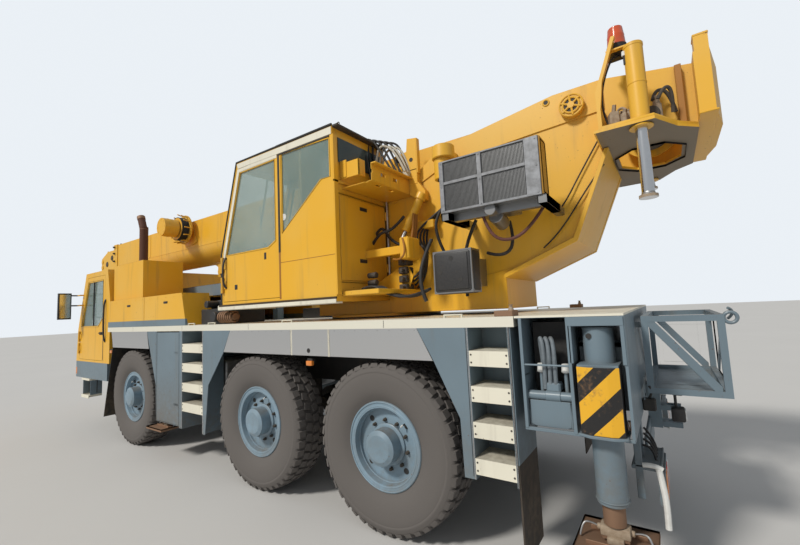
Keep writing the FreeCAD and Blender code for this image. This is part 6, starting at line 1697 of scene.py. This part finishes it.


# Under the carrier: shafts, brake cans, steering rods and tanks
def make_underbody():
    shafts = Form()
    for start, end in ((170, 1480), (1820, 4460)):
        shafts.rod((start, 0, 685), (end, 0, 685), 48, 48, 24, 3)
        for x in (start, end - 60):
            shafts.rod((x, 0, 685), (x + 60, 0, 685), 85, 85, 24, 5)
    for station in AXLES.values():
        for side in SIDES.values():
            shafts.rod((station - 190, side * 560, 800), (station - 60, side * 560, 800), 78, 78, 28, 8)
            shafts.rod((station - 60, side * 560, 800), (station, side * 560, 740), 18)
            shafts.rod((station + 60, side * 620, 690), (station + 640, side * 360, 1010), 30)
            shafts.ring((station, side * 360, 760), "z", 74, 12, 28, 6)
        shafts.rod((station + 150, -820, 640), (station + 150, 820, 640), 24)
    shafts.done("drive_shafts", "chassis", "cast_steel", "cast_parts")
    tank = Form()
    tank.box((2620, 3090), (470, 980), (640, 1250), 40, segments=3)
    tank.box((2620, 3090), (-980, -470), (640, 1250), 40, segments=3)
    for x in (2720, 2970):
        tank.box((x, x + 40), (464, 986), (634, 1256), 6)
        tank.box((x, x + 40), (-986, -464), (634, 1256), 6)
    tank.done("fuel_tanks", "chassis", "silver_metal")


STEPS = (
    ("stage", "Pale floor, soft light and the camera", "stage"),
    ("finishes", "Every finish, on the packed nodes", "finishes"),
    ("tyres", "Tyres with tread blocks", make_tyres),
    ("wheel_parts", "Wheel rings, nuts, holes and valves", make_wheel_parts),
    ("ladders", "Ladder stiles and screws", make_ladder_parts),
    ("panels", "Panel seams, strips, rivets and markers", make_panel_parts),
    ("deck_fittings", "Lashing loops, wear blocks and deck machinery", make_deck_fittings),
    ("hood", "Hood bands, louvres and boom rest parts", make_hood_parts),
    ("cab", "Carrier cab panes, seals, mirrors and lamps", make_cab_parts),
    ("seats", "Padded seats on their stands", make_seats),
    ("boom", "Cable reel, collars, head fittings and winch rope", make_boom_parts),
    ("crane_cab", "Crane cab pane, seals, cabinet door and controls", make_crane_cab_parts),
    ("cheeks", "Cheek bands and pivot rings", make_cheek_parts),
    ("cooler", "Cooler face, arms, valve cover and hoses", make_cooler_parts),
    ("swing_gear", "Piping, small cylinder and slotted tray", make_swing_gear),
    ("tail", "Beacon, ballast cylinder bands and tail fittings", make_tail_parts),
    ("guards", "Hazard guards and cover seams", make_guards),
    ("feet", "Jack necks, yokes, wires and pad rims", make_feet),
    ("compartment", "Rear bay frame, hoses and gear", make_rear_compartment),
    ("rear_end", "Basket bars, lamps, shelf and wiring", make_rear_end),
    ("underbody", "Shafts, brake cans and tanks", make_underbody),
)


class CraneColours(bpy.types.PropertyGroup):
    """Paint colours of the crane."""

    yellow: bpy.props.FloatVectorProperty(
        name="Yellow", description="Paint of the upper works and cabs", default=(0.82, 0.435, 0.022),
        subtype="COLOR",
        min=0, max=1)
    yellow_faded: bpy.props.FloatVectorProperty(
        name="Faded yellow", description="Sun-bleached patches of the yellow", default=(0.80, 0.46, 0.06),
        subtype="COLOR",
        min=0, max=1)
    grey_blue: bpy.props.FloatVectorProperty(
        name="Grey blue", description="Paint of the carrier", default=(0.165, 0.225, 0.268), subtype="COLOR",
        min=0, max=1)
    cream: bpy.props.FloatVectorProperty(
        name="Cream", description="Paint of the deck's edge and the treads", default=(0.80, 0.76, 0.63),
        subtype="COLOR",
        min=0, max=1)


class CraneView(bpy.types.PropertyGroup):
    """Camera and light."""

    lens: bpy.props.FloatProperty(
        name="Lens", description="Focal length in millimetres on a 36 mm sensor", default=17.5365, min=5)
    place: bpy.props.FloatVectorProperty(
        name="Place", description="Where the camera stands", default=(-5.273, 3.800, 1.795),
        subtype="TRANSLATION")
    turn: bpy.props.FloatVectorProperty(
        name="Turn", description="Yaw from straight ahead, pitch and roll", default=(0.9702, 0.0920, -0.0474))
    key: bpy.props.FloatProperty(name="Key light", description="Strength of the main light", default=2.5,
            min=0)
    key_from: bpy.props.FloatVectorProperty(
        name="Key from", description="Direction that the main light comes from", default=(0.35, 1.0, 0.95))
    fill: bpy.props.FloatProperty(name="Fill light", description="Strength of the light from all round",
            default=0.42, min=0)


class CRANE_OT_stage(bpy.types.Operator):
    """Makes the pale floor, the soft light and the camera."""

    bl_idname = "crane.stage"
    bl_label = "Stage"

    def execute(self, context):
        make_stage(context.scene.crane_view)
        return {"FINISHED"}


class CRANE_OT_finishes(bpy.types.Operator):
    """Makes every finish and puts it on the packed nodes."""

    bl_idname = "crane.finishes"
    bl_label = "Finishes"

    def execute(self, context):
        make_finishes(context.scene.crane_colours)
        for finish, names in NODE_FINISHES.items():
            for name in names:
                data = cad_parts[name].data
                data.materials.clear()
                data.materials.append(bpy.data.materials[finish])
        return {"FINISHED"}


def piece_operator(key, words, build):
    """An operator class that builds one group of pieces."""

    def execute(self, context):
        build()
        return {"FINISHED"}

    return type(f"CRANE_OT_{key}", (bpy.types.Operator,), {
        "__doc__": words + ".", "bl_idname": f"crane.{key}", "bl_label": key.replace("_", " ").capitalize(),
        "execute": execute,
    })


class CRANE_PT_steps(bpy.types.Panel):
    """Lists the crane's steps in the sidebar."""

    bl_label = "Mobile crane"
    bl_idname = "CRANE_PT_steps"
    bl_space_type = "VIEW_3D"
    bl_region_type = "UI"
    bl_category = "Crane"

    def draw(self, context):
        for key, _, _ in STEPS:
            self.layout.operator(f"crane.{key}")
        for group in (context.scene.crane_colours, context.scene.crane_view):
            for setting in group.__annotations__:
                self.layout.prop(group, setting)


CLASSES = [CraneColours, CraneView, CRANE_OT_stage, CRANE_OT_finishes]
CLASSES += [piece_operator(key, words, build) for key, words, build in STEPS if callable(build)]
CLASSES += [CRANE_PT_steps]


def register():
    for item in CLASSES:
        bpy.utils.register_class(item)
    bpy.types.Scene.crane_colours = bpy.props.PointerProperty(type=CraneColours)
    bpy.types.Scene.crane_view = bpy.props.PointerProperty(type=CraneView)


def unregister():
    del bpy.types.Scene.crane_view
    del bpy.types.Scene.crane_colours
    for item in reversed(CLASSES):
        bpy.utils.unregister_class(item)


def main():
    register()
    for key, _, _ in STEPS:
        getattr(bpy.ops.crane, key)()
    bpy.context.view_layer.update()


if __name__ == "__main__":
    main()
